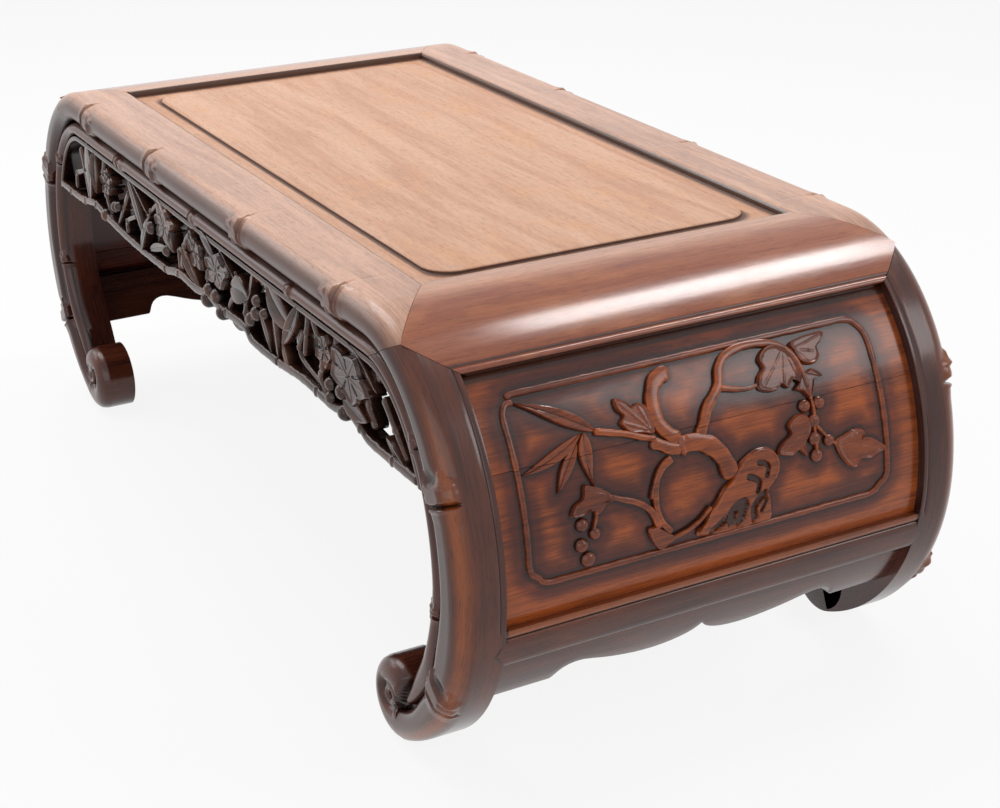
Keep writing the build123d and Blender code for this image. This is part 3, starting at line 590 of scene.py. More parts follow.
# %% The height of the scroll's face
def scroll_face(x, z):
    """Distance from y = 0 of the scroll's face at each point, and its wear with painted shade."""
    p = np.column_stack([x.ravel(), z.ravel()])
    out = scroll_radius - np.linalg.norm(p - scroll_centre, axis=1)
    face = half_depth - 2 - rounding(out, 15, 12)
    apart, which = nearest(p, grooves)
    deep = groove_deep[which]
    fall = np.where(deep > 8.5, deep * (1 - step(apart, 0, 8)), rounding(apart, 8, 1) * deep)
    e = p - eye
    ring = np.linalg.norm(e, axis=1)
    bearing = np.degrees(np.arctan2(e[:, 1], e[:, 0])) % 360
    wall = crescent - eye
    wall_bearing = np.degrees(np.arctan2(wall[:, 1], wall[:, 0])) % 360
    order = np.argsort(wall_bearing)
    reach = np.interp(bearing, wall_bearing[order], np.linalg.norm(wall, axis=1)[order])
    enclosed = (bearing > 118) & (bearing < 282) & (ring < reach)
    fall = np.where(enclosed, np.maximum(fall, 8 * step(bearing, 118, 150)), fall)
    radial = heel_radius - np.linalg.norm(p - heel_centre, axis=1)
    turn = np.degrees(np.arctan2(heel_centre[1] - p[:, 1], p[:, 0] - heel_centre[0]))
    covered = (turn < 62) & (radial < np.interp(turn, bamboo_depth[:, 0], bamboo_depth[:, 1]))
    covered |= (turn < sole_turn - 2.5) & (turn > 55) & (radial < 26.5)
    fall = np.where(covered, np.maximum(fall, 11 + 0 * fall), fall)
    stretched = np.hypot(e[:, 0] / 0.62, e[:, 1])
    inner = half_depth - 2.6 - 1.3 * (1 - hump(ring, 6.2, 2.4)) - 5 * (1 - step(stretched, 2.0, 4.4))
    share = step(8.9 - ring, 0, 1.5)
    valley = 1.2 * hump(ring, 10.2, 1.8) * (1 - np.clip(fall / 8, 0, 1))
    face = (face - fall - valley) * (1 - share) + inner * share
    pupil = (1 - step(stretched, 2.0, 4.4)) * share
    # Painted shade: dark in the grooves, the valley and the pupil.
    wear = np.clip(0.66 - 0.09 * fall * (1 - share) - 0.5 * pupil - 0.3 * valley, 0, 1)
    return face.reshape(x.shape), wear.reshape(x.shape)


# %% [markdown]
# The drum itself is rings of points from the eye out to the rim, then the side down to the leg's inner
# face, and a plain back. A cylinder primitive has no rings inside its cap, so it couldn't take the
# carved face.

# %% The drum of the foot
outer_rings = scroll_radius - 14 * np.cos(np.linspace(0, np.pi / 2, 18))[1:]
radius = np.r_[np.linspace(0, 19, 44), outer_rings][:, None]
around = np.radians(np.linspace(0, 360, 181))[None, :-1]
x = scroll_centre[0] + radius * np.cos(around)
z = scroll_centre[1] + radius * np.sin(around)
face, face_wear = scroll_face(x, z)
side = np.array([0.03, 0.1, 0.3, 0.6, 0.9, 0.985])[:, None]
side_w = face[-1:] + (leg_inner_face - face[-1:]) * side
back = np.array([1.0, 0.985, 0.94, 0.5, 0.02])[:, None]
ring_x, ring_z = x[-1:] - scroll_centre[0], z[-1:] - scroll_centre[1]
edge = np.vstack([np.ones((6, 1)), back])
x = np.vstack([x, scroll_centre[0] + ring_x * edge])
z = np.vstack([z, scroll_centre[1] + ring_z * edge])
w = np.vstack([face, side_w, leg_inner_face + np.array([[1.0], [0.3], [0], [0], [0]]) + 0 * ring_x])
scroll_wear = np.vstack([face_wear, np.full((len(edge), x.shape[1]), 0.5)])
scroll_wear[-4:] = 0.25
points = np.stack([x, -w, z], -1)
leg.grid(points, np.stack([w, x, z], -1), scroll_wear, 0.0, wrap=True)
print("leg has", leg.count, "points")

# %% [markdown]
# ## Rolled end rails
# The end rail is one thick board, planed to a quarter of an ellipse, that stops in a small bead over
# the carved panel. It has the same section all along, so the section is drawn once, from the frame's
# opening over the roll to the bead and back underneath, and carried along Y.


# %% One end rail, which rolls over the end and stops in a small bead
def along_y(shape, profile, ys, wear, tone=0.0):
    """Add a profile in X and Z, carried along Y."""
    points = np.array([[(x, y, z) for x, z in profile] for y in ys])
    run = lengths(np.asarray(profile))
    grain = np.array([[(y + 900, s, 0) for s in run] for y in ys])
    shape.grid(points, grain, wear, tone, wrap=True, caps=True)


lip_turn = math.acos((lip_x - flat_half) / roll_run)
end_turns = np.linspace(np.pi / 2, lip_turn, 44)
roll_line = np.column_stack([
    flat_half + roll_run * np.cos(end_turns), bulge_height + roll_rise * np.sin(end_turns)])
roll_out = np.column_stack([np.cos(end_turns) / roll_run, np.sin(end_turns) / roll_rise])
roll_out /= np.linalg.norm(roll_out, axis=1)[:, None]
to_lip = lengths(roll_line)
to_lip = to_lip[-1] - to_lip
opening_edge = ((0, 1.3), (0.25, 0.45), (0.9, 0.05), (1.8, 0))
end_profile = [(opening_half_length + away, table_height - drop) for away, drop in opening_edge]
end_profile += [tuple(p) for p, left in zip(roll_line, to_lip) if left > 7.5]
# The bead at the lip: distance before the lip, and depth under the roll's surface.
lip_bead = (
    (6.8, 0), (6.3, 0.15), (5.8, 0.6), (5.3, 0.95), (4.8, 0.6), (4.3, 0.05), (3.4, -0.25), (2.4, -0.35),
    (1.4, -0.15), (0.6, 0.35), (0.1, 1.1), (0, 2.0), (0.3, 6.5))
for back, sunk in lip_bead:
    middle = [np.interp(back, to_lip[::-1], column[::-1]) for column in np.hstack([roll_line, roll_out]).T]
    end_profile.append((middle[0] - sunk * middle[2], middle[1] - sunk * middle[3]))
end_profile += [(350, 303), (opening_half_length, 303), (opening_half_length, 325)]
end_profile = np.array(end_profile)

# %% [markdown]
# Hands and cloths have rubbed the roll and its bead, so the wear is high there. In the small groove
# before the bead, at the opening's edge and underneath, the wood is painted dark as shade. The flat
# part is painted in the pale lit colour of the frame, a painted light that fades out where the roll
# begins.

# %% The rail's wear and painted shade, and the painted light on its flat part
end_rail = Shape()
end_wear = np.full(len(end_profile), 0.75)
end_wear[:4] = (0, 0, 0.1, 0.5)
end_wear[-16:-13] = 0.1
end_wear[-12:-8] = 1.0
end_wear[-6:] = 0.1
roll_flat_light = 1 - step(end_profile[:, 0], 326, 362)
along_y(end_rail, end_profile, np.linspace(-214, 214, 60), end_wear, roll_flat_light)
print("end rail has", end_rail.count, "points")

# %% [markdown]
# ## Floating panel
# The top panel isn't glued. It floats in a groove of the frame, so that it can swell and shrink. Its
# raised field has rounded corners and lies in a sunk channel. A plane with a Bevel would need the
# corners cut in first; rings of points from the frame's edge to the middle give the channel, the
# corners and the painted shade in one sheet: a dark band at the opening's edge and a dark line round
# the foot of the field.


# %% The floating panel: raised field with rounded corners in a sunk channel
def rounded(half_x, half_y, radius, count=16):
    """Outline of a rounded rectangle, the same number of points for any size."""
    points = []
    for quarter, (sx, sy) in enumerate(((1, 1), (-1, 1), (-1, -1), (1, -1))):
        for k in range(count):
            a = np.pi / 2 * (quarter + k / (count - 1))
            middle_x, middle_y = sx * (half_x - radius), sy * (half_y - radius)
            points.append((middle_x + radius * math.cos(a), middle_y + radius * math.sin(a)))
    return np.array(points)


top_panel = Shape()
rings = []
# Each ring is the distance in from the opening, the depth below the frame and the corner's radius.
for inset, below, radius in (
        (0.3, 19.5, 0.4), (0.3, 5.6, 0.4), (1.2, 6.2, 0.4), (8, 6.5, 4), (15, 6.5, 14), (17.6, 6.6, 21),
        (18.4, 6.5, 23), (18.8, 6.1, 23.5), (18.9, 4.8, 24), (19.3, 4.0, 24), (20.0, 3.6, 24),
        (21.2, 3.5, 24), (40, 3.5, 24), (100, 3.5, 20), (159, 3.5, 0.5)):
    outline = rounded(opening_half_length - inset, opening_half_depth - inset, radius)
    rings.append(np.column_stack([outline, np.full(len(outline), table_height - below)]))
rings = np.array(rings)
# Painted shade: dark at the opening's edge and in the channel's corner at the foot of the field.
panel_wear = np.array([0, 0, 0.05, 0.65, 0.6, 0.1, -0.2, -0.3, 0, 0.6, 0.9, 1, 1, 1, 1])[:, None]
top_panel.grid(rings, rings.copy(), panel_wear, wrap=True, caps=True)
print("top panel has", top_panel.count, "points")

# %% [markdown]
# ## Lower end rails
# A narrow rail closes each end below the carved panel. It follows the bulge, has a bead on its top
# edge, and its shoulders run out into points that are let into the legs. Each row of points lies at one
# height, and the rows near the middle of the rail reach further out, which draws the points.

# %% One lower end rail, with a bead on top and pointed shoulders let into the legs
lower_z = lower_rail_top - np.array([
    0, 0.3, 1.4, 3, 4.6, 5.8, 6.6, 7.2, 7.8, 9, 14, 20, 26, 29.5, 30.6, 31])
lower_inset = np.array([3, 1.2, 0.5, 0.3, 0.5, 1.0, 1.9, 1.9, 0.9, 0.2, -0.1, -0.1, -0.1, 0.0, 0.5, 1.6])
point_reach = 10 * np.clip(1 - np.abs(lower_z - 120.5) / np.where(lower_z > 120.5, 9.5, 11.5), 0, 1)
lower_rail = Shape()
rows = []
for z_row, inset, reach in zip(lower_z, lower_inset, point_reach):
    across = np.r_[-1, -0.995, np.linspace(-0.982, 0.982, 50), 0.995, 1]
    lip_fall = (reach > 0) * np.interp(np.abs(across), [0.982, 0.995, 1], [0, 0.08, 0.9])
    rows.append([
        (roll_reach(z_row, inset + fall), share * (leg_inner_face + reach), z_row)
        for share, fall in zip(across, lip_fall)])
rows.append([(roll_reach(lower_rail_bottom) - 20, p[1], lower_rail_bottom + 3) for p in rows[-1]])
rows.insert(0, [(roll_reach(lower_rail_top) - 20, p[1], lower_rail_top - 3) for p in rows[0]])
rows = np.array(rows)
# Painted shade: dark in the groove under the bead and on the underside; the points of the shoulders get a
# dark joint line.
lower_wear = np.r_[0, 0.6, 0.8, 1, 1, 1, 0.6, 0, 0, 0.6, 0.8, 0.7, 0.7, 0.7, 0.8, 0.4, 0.1, 0]
lower_wear = lower_wear[:, None] * np.ones(rows.shape[1])
lower_wear[:, [0, 1, -2, -1]] = -0.3
lower_grain = np.stack([rows[..., 1] - 700, rows[..., 2], rows[..., 0]], -1)
# The bead is painted in the lit colour, a painted highlight along it.
bead_highlight = hump(lower_z, 136, 4)[np.r_[0, 0:16, 15]]
lower_rail.grid(rows, lower_grain, lower_wear, bead_highlight[:, None])
print("lower rail has", lower_rail.count, "points")

# %% [markdown]
# ## End aprons
# Under each lower rail hangs a thin shaped board: a step at each side, then two lobes that meet in a
# pointed notch. Its lower edge was sawn by hand to a paper pattern, so it is given here as a few
# points, and the sheet of the board is stretched between that edge and the rail.

# %% One end apron
edge_y = np.array([
    0, 3, 6, 10, 15, 22, 30, 38, 46, 55, 64, 74, 84, 94, 102, 107, 111, 115, 119, 122, 124, 125.5, 127,
    182])
edge_z = end_apron_foot + np.array([
    15.5, 12, 9.2, 6.8, 4.6, 2.4, 1.0, 0.4, 0.5, 1.4, 3.0, 5.2, 8.0, 11.2, 13.4, 13.9, 13.6, 12.6, 10.4,
    7.4, 4.2, 1.6, 0.2, 0])
ys = np.unique(np.r_[np.linspace(-182, 182, 90), edge_y, -edge_y])
edge_rise = np.interp(np.abs(ys), edge_y, edge_z)
apron_rows = []
# Share of the way down to the sawn edge, and depth behind the bulge: the face, the edge and the back.
apron_turn = (
    (0, 7), (0.25, 7), (0.5, 7), (0.75, 7), (0.96, 7), (0.99, 7.3), (1, 8),
    (1, 18), (0.98, 19), (0.5, 19), (0, 19))
for share, inset in apron_turn:
    heights = lower_rail_bottom + 2 + (edge_rise - lower_rail_bottom - 2) * share
    apron_rows.append(np.column_stack([roll_reach(heights, inset), ys, heights]))
end_apron = Shape()
apron_rows = np.array(apron_rows)
apron_grain = np.stack([apron_rows[..., 1] + 400, apron_rows[..., 2], apron_rows[..., 0]], -1)
# Painted shade: the apron is dark just under the rail and on its hidden back, and its sawn edge is rubbed
# lighter.
end_apron_wear = np.array([0.1, 0.6, 0.6, 0.6, 0.7, 0.8, 0.3, 0.2, 0.3, 0.3, 0.2])
end_apron.grid(apron_rows, apron_grain, end_apron_wear[:, None])
print("end apron has", end_apron.count, "points")

# %% [markdown]
# ## Carving
# A carver builds a relief from a few forms: stems, long leaves, broad leaves and berries. They could be
# sculpted one by one. Here each form is a small sheet of points with its own rise and fall, because the
# same forms return in the aprons and in the end panels. They are drawn in two flat coordinates, and
# `place` turns a drawn point and its height over the ground into a point in space. On the pierced
# aprons the forms go right through the board, on the end panels they stand on a sunk ground.


# %% Carved forms
stem_round = 3.4             # height of a stem's rounded upper part


# Every form is painted dark as shade at its foot and in its grooves and hollows; the flanks of a toned stem
# carry a painted highlight, and leaf veins a painted sheen.
class Carving:
    """Carved forms that go down to base; marks keeps their outlines for darkening the ground close to them.
    """

    def __init__(self, shape, place, base, through):
        self.shape, self.place, self.base, self.through = shape, place, base, through
        self.marks = []

    def sheet(self, drawn, height, wear, tone=0.0, closed=False):
        """Add drawn[i, j] at height[i, j]; closed joins the last column to the first."""
        self.shape.grid(self.place(drawn, height), np.dstack([drawn, height]), wear, tone, wrap=closed)
        self.marks.append(drawn[:, 1:-1].reshape(-1, 2))

    def disc(self, drawn, height, wear, tone):
        """Add rings of points from a middle out to a rim; on a pierced board it gets a back too."""
        height[-1] = self.base
        if self.through:
            drawn = np.concatenate([drawn, drawn[:1]])
            height = np.vstack([height, height[-1:]])
            wear = np.vstack([wear, wear[-1:]])
        grain = np.dstack([drawn, height])
        self.shape.grid(self.place(drawn, height), grain, np.clip(wear, 0, 1), tone, wrap=True)

    def rod(self, points, width, rise, taper=1.0, knots=(), tone=0.0, square=0.0):
        """A rounded stem along a curve, taper times as wide at its end, with ring knots."""
        line = smooth(points, 1.0)
        s = lengths(line)
        near_end = s[-1] - np.array([0, 0.15, 0.5, 1.1, 1.9])
        places = np.unique(np.r_[np.arange(0, s[-1], 1.6), near_end, 0.15, 0.5, 1.1])
        places = places[places >= 0]
        line = np.column_stack([np.interp(places, s, column) for column in line.T])
        ahead = np.gradient(line, axis=0)
        ahead /= np.linalg.norm(ahead, axis=1)[:, None]
        aside = np.column_stack([-ahead[:, 1], ahead[:, 0]])
        half = 0.5 * width * (1 + (taper - 1) * places / s[-1])
        left = np.clip(np.minimum(places, s[-1] - places) / (0.7 * half), 0, 1)
        cap = np.sqrt(np.clip(1 - (1 - left) ** 2, 0.004, 1))
        knot = sum((hump(places, k, 1.6) - 0.5 * hump(places, k + 3.2, 1.2) for k in knots), 0 * places)
        wobble = 1 + 0.05 * np.sin(places / 4.1 + width) + 0.04 * np.sin(places / 1.9)
        half = half * cap * wobble * (1 + 0.2 * knot)
        across = np.array([-1, -1, -0.92, -0.72, -0.4, 0, 0.4, 0.72, 0.92, 1, 1])
        flank = [0, 0.3 + 0.3 * square, 0.62 + 0.3 * square, 0.86 + 0.1 * square, 0.97]
        lift = np.array(flank + [1] + flank[::-1])
        height = rise - stem_round + (stem_round * cap * (1 + 0.22 * knot))[:, None] * lift
        height[:, [0, -1]] = self.base
        drawn = line[:, None] + aside[:, None] * (half[:, None] * across)[..., None]
        wear = np.array([0, 0.3, 0.62, 0.85, 0.8, 0.78, 0.8, 0.85, 0.62, 0.3, 0]) + 0.2 * knot[:, None]
        wear = np.clip(wear, 0, 1)
        # A toned stem's flanks are painted lighter, a painted highlight along its edges.
        edges = np.array([0, 0.6, 1, 0.8, 0.2, 0, 0.2, 0.8, 1, 0.6, 0])
        tone = np.clip(tone + 0.3 * edges * (tone > 0) + 0 * wear, 0, 1)
        self.sheet(drawn, height, wear, tone, closed=self.through)

    def blade(self, tip, end, width, rise, bend=0.0, tone=0.0, peak=0.85, lean=0.0):
        """A long leaf from tip to end, with raised edges and a middle groove; lean tilts it sideways."""
        tip, end = np.array(tip, float), np.array(end, float)
        run = end - tip
        aside = np.array([-run[1], run[0]]) / np.linalg.norm(run)
        t = np.linspace(0, 1, 30)[:, None]
        middle = tip + run * t + aside * bend * 4 * t * (1 - t)
        half = 0.5 * width * np.clip(np.sin(np.pi * t**peak), 0, 1) ** 0.8 + 0.12
        across = np.array([-1, -1, -0.93, -0.75, -0.45, -0.14, 0, 0.14, 0.45, 0.75, 0.93, 1, 1])
        lift = np.array([0, 0.55, 0.9, 1.0, 0.8, 0.76, 0.6, 0.76, 0.8, 1.0, 0.9, 0.55, 0])
        ends = np.clip(np.sin(np.pi * t), 0, 1) ** 0.35
        height = rise * (0.4 + 0.6 * ends) * lift + lean * half * across
        height[:, [0, -1]] = self.base
        drawn = middle[:, None] + aside * (half * across)[..., None]
        wear = np.array([0, 0.45, 0.8, 1.0, 0.7, 0.45, 0.2, 0.45, 0.7, 1.0, 0.8, 0.45, 0]) + 0 * t
        self.sheet(drawn, height, wear, tone, closed=self.through)

    def leaf(self, outline, rise, veins=(), centre=None, tone=0.0, dish=0.3, hollows=(), rings=14):
        """A broad form from its outline: raised rim, sunk middle, veins and carved hollows."""
        rim = smooth(outline, 1.2, closed=True)
        centre = rim.mean(0) if centre is None else np.array(centre, float)
        share = np.r_[np.linspace(0.001, 0.86, rings), 0.9, 0.935, 0.965, 0.988, 1, 1][:, None]
        lift = 1 - dish * (1 - step(share, 0.8, 0.92)) - 0.6 * step(share, 0.94, 1.0)
        drawn = centre + (rim[None] - centre) * share[..., None]
        height = rise * lift + 0 * drawn[..., 0]
        wear = 0.66 + 0.34 * step(share, 0.8, 0.92) - 0.5 * step(share, 0.97, 1.0) + 0 * height
        flat_drawn = drawn.reshape(-1, 2)
        for start, *tips in veins:
            for tip in tips:
                line = np.array(start, float) + np.subtract(tip, start) * np.linspace(0, 1, 40)[:, None]
                apart = nearest(flat_drawn, line)[0].reshape(height.shape)
                ridge = hump(apart, 0, 0.55) * (share < 0.95)
                height = height + 0.45 * ridge
                # Painted sheen: the veins are painted lighter.
                wear = wear + 0.4 * ridge
        for wide, deep, *spots in hollows:
            apart = nearest(flat_drawn, smooth(spots, 1.0))[0].reshape(height.shape)
            pit = 1 - step(apart, 0.7 * wide, wide)
            height = height - deep * pit
            # Painted shade: the carved hollows are painted dark.
            wear = wear - 0.75 * pit
        wear[-1] = 0
        self.disc(drawn, height, wear, tone)
        self.marks.append(rim)

    def berry(self, centre, radius, rise, tone=0.0):
        """A round berry with a small dimple."""
        angles = np.radians(np.arange(0, 360, 15))[None]
        share = np.array([0.001, 0.1, 0.2, 0.35, 0.5, 0.65, 0.78, 0.88, 0.95, 0.99, 1.0])[:, None]
        lift = np.sqrt(np.clip(1 - share**2, 0.04, 1)) - 0.08 * hump(share, 0, 0.16)
        circle = np.stack([share * np.cos(angles), share * np.sin(angles)], -1)
        drawn = np.array(centre, float) + radius * circle
        height = rise * lift + 0 * drawn[..., 0]
        wear = 0.95 - 0.9 * step(share, 0.8, 1.0) + 0 * height
        self.disc(drawn, height, wear, tone)
        self.marks.append(drawn[-3])


# %% [markdown]
# ## Pierced aprons
# Under each long rail hangs a board that is pierced right through and carved on its outer side. A strip
# on three sides follows the rail and the legs and holds the carving. The board could be cut with a
# Boolean, but its edges would stay sharp. Closed sheets that cross each other give round stems and
# leaves that lie over one another.

# %% The strip round the long aprons
apron_tip = 229              # height of the strip's two lower ends
apron_end_x, apron_end_z = roll_run - 49, roll_rise - 42
apron_scale = 419.9 / 418.7  # stretches the drawing to the length between the legs
apron_lift = 7               # and raises it to the rail
apron_ground = 2.2           # ground of the carving behind the strip's face


def on_apron(drawn, height):
    """Point in space of a drawn point on the apron at a height over its face."""
    y = -(apron_face - apron_ground + height)
    return np.stack([drawn[..., 0] * apron_scale, y, drawn[..., 1] + apron_lift], -1)


def apron_line(inset, top_inset):
    """Top edge and curved ends of the apron, inset, from the right end over to the left one."""
    across, rise = apron_end_x - inset, apron_end_z - top_inset
    a = np.linspace(math.asin((apron_tip - bulge_height) / rise), np.pi / 2, 50)
    right = np.column_stack([flat_half + across * np.cos(a), bulge_height + rise * np.sin(a)])
    across_top = np.linspace(flat_half, -flat_half, 200)[1:-1]
    top = np.column_stack([across_top, np.full_like(across_top, bulge_height + rise)])
    return np.vstack([right, top, right[::-1] * [-1, 1]])


front_apron = Shape()
carved = Carving(front_apron, on_apron, apron_ground - apron_thickness, True)
outside, inside = apron_line(0.2, 0.2), apron_line(7, 5)
share = np.array([0, 0, 0.06, 0.12, 0.5, 0.8, 0.92, 0.98, 1, 1])[None, :, None]
strip = outside[:, None] + (inside - outside)[:, None] * share
strip_w = apron_face + np.array([-14, -1.0, -0.2, 0, 0.4, 0.4, 0, -0.6, -1.8, -14])
strip_points = np.stack([strip[..., 0], -np.broadcast_to(strip_w, strip.shape[:2]), strip[..., 1]], -1)
run = lengths(outside)[:, None] + 0 * strip_w
strip_grain = np.stack([run, np.broadcast_to(strip_w, run.shape), 0 * run], -1)
# Painted shade: the strip goes dark at its edges and back.
strip_wear = np.array([0, 0.2, 0.5, 0.7, 0.8, 0.9, 0.9, 0.6, 0.2, 0])
front_apron.grid(strip_points, strip_grain, strip_wear, wrap=True, caps=True)
print("the apron's strip is", round(float(run[-1, 0])), "mm long")

# %% [markdown]
# ## The drawing of the long aprons
# The apron shows one vine with bamboo leaves from end to end. The first three stems are its lower edge,
# which is itself a bamboo stalk. All forms are drawn in X and Z, as seen from the front. They are a
# list given one by one, because no rule makes a vine look carved.

# %% Stems: width, distances of the knots, and a run of points
apron_stems = [
    (8, [36, 84, 120], (-414, 226), (-345, 227), (-300, 234), (-262, 230), (-215, 227), (-165, 226),
     (-95, 227)),
    (8, [35, 150], (-95, 227), (-60, 234), (-20, 233), (8, 236), (45, 234), (95, 235), (112, 228),
     (165, 228)),
    (8, [76, 156, 210], (165, 228), (215, 232), (270, 230), (300, 236), (322, 230), (340, 226),
     (412, 226)),
    (7, [20], (-366, 232), (-362, 248), (-349, 254), (-326, 261)),
    (9, [24], (-336, 283), (-326, 258), (-317, 229)),
    (9, [18, 40], (-268, 287), (-276, 268), (-270, 248), (-258, 232)),
    (6, [26], (-196, 272), (-236, 228)),
    (6, [14], (-203, 230), (-201, 243), (-172, 256)),
    (6, [16], (-150, 262), (-111, 285)),
    (6, [20], (-63, 234), (-61, 256), (-40, 250)),
    (7, [26], (-54, 240), (-47, 258), (-35, 274), (-10, 290)),
    (7, [22, 40], (8, 288), (5, 270), (2, 234)),
    (8, [18], (72, 276), (78, 263), (60, 245), (55, 236)),
    (6, [16], (101, 262), (96, 244), (106, 230)),
    (9, [20, 44], (102, 262), (110, 278), (124, 286), (139, 284), (151, 272), (148, 260)),
    (5, [22], (140, 256), (126, 262), (111, 247), (98, 250)),
    (6, [16], (228, 288), (218, 252)),
    (6, [20], (211, 270), (203, 248), (241, 237)),
    (8, [16, 40], (232, 288), (244, 270), (248, 254), (243, 242), (256, 233)),
    (8, [14], (281, 288), (268, 262)),
    (12, [12, 44], (358, 283), (343, 281), (331, 272), (325, 259), (327, 246), (338, 236)),
    (7, [26], (354, 267), (391, 232)),
]
lower_stalk_parts = 3
print(len(apron_stems), "stems")

# %% [markdown]
# Blades are bamboo leaves: long, bent a little, and pointed at both ends. A width and the two points
# that a blade runs between say enough.

# %% Blades: width, tip and end
apron_blades = [
    (30, (-310, 294), (-318, 228)), (14, (-286, 290), (-292, 246)), (16, (-190, 290), (-148, 236)),
    (9, (-183, 289), (-138, 267)), (15, (-164, 225), (-129, 268)), (28, (-106, 291), (-70, 250)),
    (9, (-140, 232), (-80, 250)), (10, (-48, 262), (-8, 238)), (14, (0, 290), (38, 274)),
    (9, (40, 290), (80, 270)), (24, (70, 262), (110, 264)), (9, (66, 231), (100, 235)),
    (9, (120, 290), (98, 254)), (22, (150, 288), (200, 266)), (11, (131, 260), (152, 230)),
    (14, (158, 270), (165, 230)), (11, (213, 291), (176, 246)), (10, (176, 250), (190, 228)),
    (12, (296, 290), (348, 268)), (14, (290, 246), (332, 240)), (12, (-252, 282), (-250, 258)),
    (12, (360, 240), (396, 226)),
]
print(len(apron_blades), "blades")

# %% [markdown]
# The vine's own leaves are broad, and berries hang beside them in small bunches.

# %% Vine leaves with centre, length, height and tilt, and berries with centre and radius
apron_leaves = [
    ((-250, 268), 30, 24, 20), ((-88, 271), 44, 28, 15), ((-10, 270), 38, 26, -40),
    ((40, 267), 50, 30, 10), ((262, 272), 30, 26, 0), ((304, 266), 62, 38, -8),
]
apron_berries = [
    ((-232, 249), 7), ((-222, 252), 6), ((-267, 231), 8), ((-129, 257), 8), ((-88, 247), 7),
    ((15, 242), 8), ((32, 241), 9), ((7, 231), 9), ((42, 230), 8), ((128, 268), 7), ((143, 262), 6),
    ((124, 256), 8), ((111, 247), 8), ((268, 247), 7), ((288, 248), 8), ((268, 236), 7),
    ((290, 232), 8),
]
print(len(apron_leaves), "vine leaves and", len(apron_berries), "berries")

# %% [markdown]
# Carved work has depth: no two leaves lie equally high or equally flat. The blades take turns in how
# high they stand, how they bend and to which side they lean, and the thin stems run in front of them
# and behind them.

# %% Carving the blades and the stems
for k, (width, tip, end) in enumerate(apron_blades):
    lean = (0.28, -0.3, 0.1)[k % 3] * min(1, 12 / width)
    stand = (1.4, 3.2, 2.2)[k % 3] + 0.05 * width
    carved.base = -10.0 + (k % 2)
    carved.blade(tip, end, width, stand, (1.5, -2, 2.5, -1)[k % 4], lean=lean)
carved.base = apron_ground - apron_thickness
for k, (width, knots, *points) in enumerate(apron_stems):
    stalk = k < lower_stalk_parts
    carved.rod(points, width, 3.6 if stalk else (0.6, 2.0, -0.6)[k % 3], 1.0 if stalk else 0.8, knots)
print("apron has", front_apron.count, "points so far")


# %% [markdown]
# A vine leaf has five lobes. Its outline is a circle whose radius falls towards the notches between
# them, and a short gully runs in from each notch.


# %% Vine leaves and berries
lobes = 5
notch_depth = 0.338          # how far a notch cuts in, as a share of the leaf's half length


def lobed(centre, length, height, tilt):
    """Outline, vein tips and notches of a lobed leaf."""
    a = np.radians(np.arange(0, 360, 4))
    beside_tip = np.abs((lobes * a / (2 * np.pi) + 0.5) % 1 - 0.5) * 2
    reach = 1.12 - notch_depth * beside_tip**0.9
    turn = math.radians(tilt)
    across, up = 0.5 * length * reach * np.cos(a), 0.5 * height * reach * np.sin(a)
    drawn = np.column_stack([
        across * math.cos(turn) - up * math.sin(turn), across * math.sin(turn) + up * math.cos(turn)])
    one_lobe = len(drawn) // lobes
    return drawn + centre, 0.9 * drawn[::one_lobe] + centre, drawn[one_lobe // 2::one_lobe] + centre


for centre, length, height, tilt in apron_leaves:
    outline, tips, notches = lobed(centre, length, height, tilt)
    middle = np.array(centre)
    gullies = [(1.4, 1.0, 0.6 * middle + 0.4 * spot, 0.3 * middle + 0.7 * spot, spot) for spot in notches]
    carved.leaf(outline, 4.8, [(centre, *tips)], centre, dish=0.25, hollows=gullies, rings=20)
for centre, radius in apron_berries:
    carved.berry(centre, 0.85 * radius, 6.5)
print("apron has", front_apron.count, "points")

# %% [markdown]
# ## End panels
# Each end is closed by a board that follows the bulge, with a raised bead round a carved field. A
# displacement map could lift the carving, but it would smear on the steep flanks of the forms. Here the
# carved forms are drawn flat and bent over the ground: `s` is the distance down the curve from just
# under the lip, and the relief is drawn in Y and s. One panel is made, and it is sawn into its upper
# and its lower board at the end.

# %% The curved ground of an end panel
s_table = np.array([0, 20, 40, 61, 84, 107, 125, 139, 153, 169, 183, 199, 214, 233, 255])
z_table = np.array([312, 303, 287, 270, 250, 230, 213, 200, 186, 170, 156, 140, 125, 107, 86.0])
z_table = z_table + 7 + 0.015 * np.clip(z_table - 200, 0, None)
relief_shift = 4             # the carving's middle lies this far behind the panel's
relief_rise = 3.4            # how far stems and leaves stand over the ground


def on_end(drawn, height):
    """Point in space of a drawn point on the end panel at a height over its ground."""
    z = np.interp(drawn[..., 1], s_table, z_table)
    x = roll_reach(z, panel_inset)
    above = z >= bulge_height
    out_x = np.where(above, (x - flat_half) / roll_run**2, (x - heel_centre[0]) / heel_radius**2)
    out_z = (z - bulge_height) / np.where(above, roll_rise, heel_radius) ** 2
    size = np.hypot(out_x, out_z)
    y = drawn[..., 0] + relief_shift + 0 * z
    return np.stack([x + height * out_x / size, y, z + height * out_z / size], -1)


end_panel = Shape()
relief = Carving(end_panel, on_end, -1.0, False)
print("the ground runs from", z_table[0], "mm down to", z_table[-1], "mm over the floor")

# %% [markdown]
# The bead is one rounded rod that runs round the field. On the real panel it breaks at the upper left
# corner and has a small cusp at each lower one, so a plain rounded frame won't do. Its long runs are
# divided every few millimetres, because a curve through distant points would belly out between them.

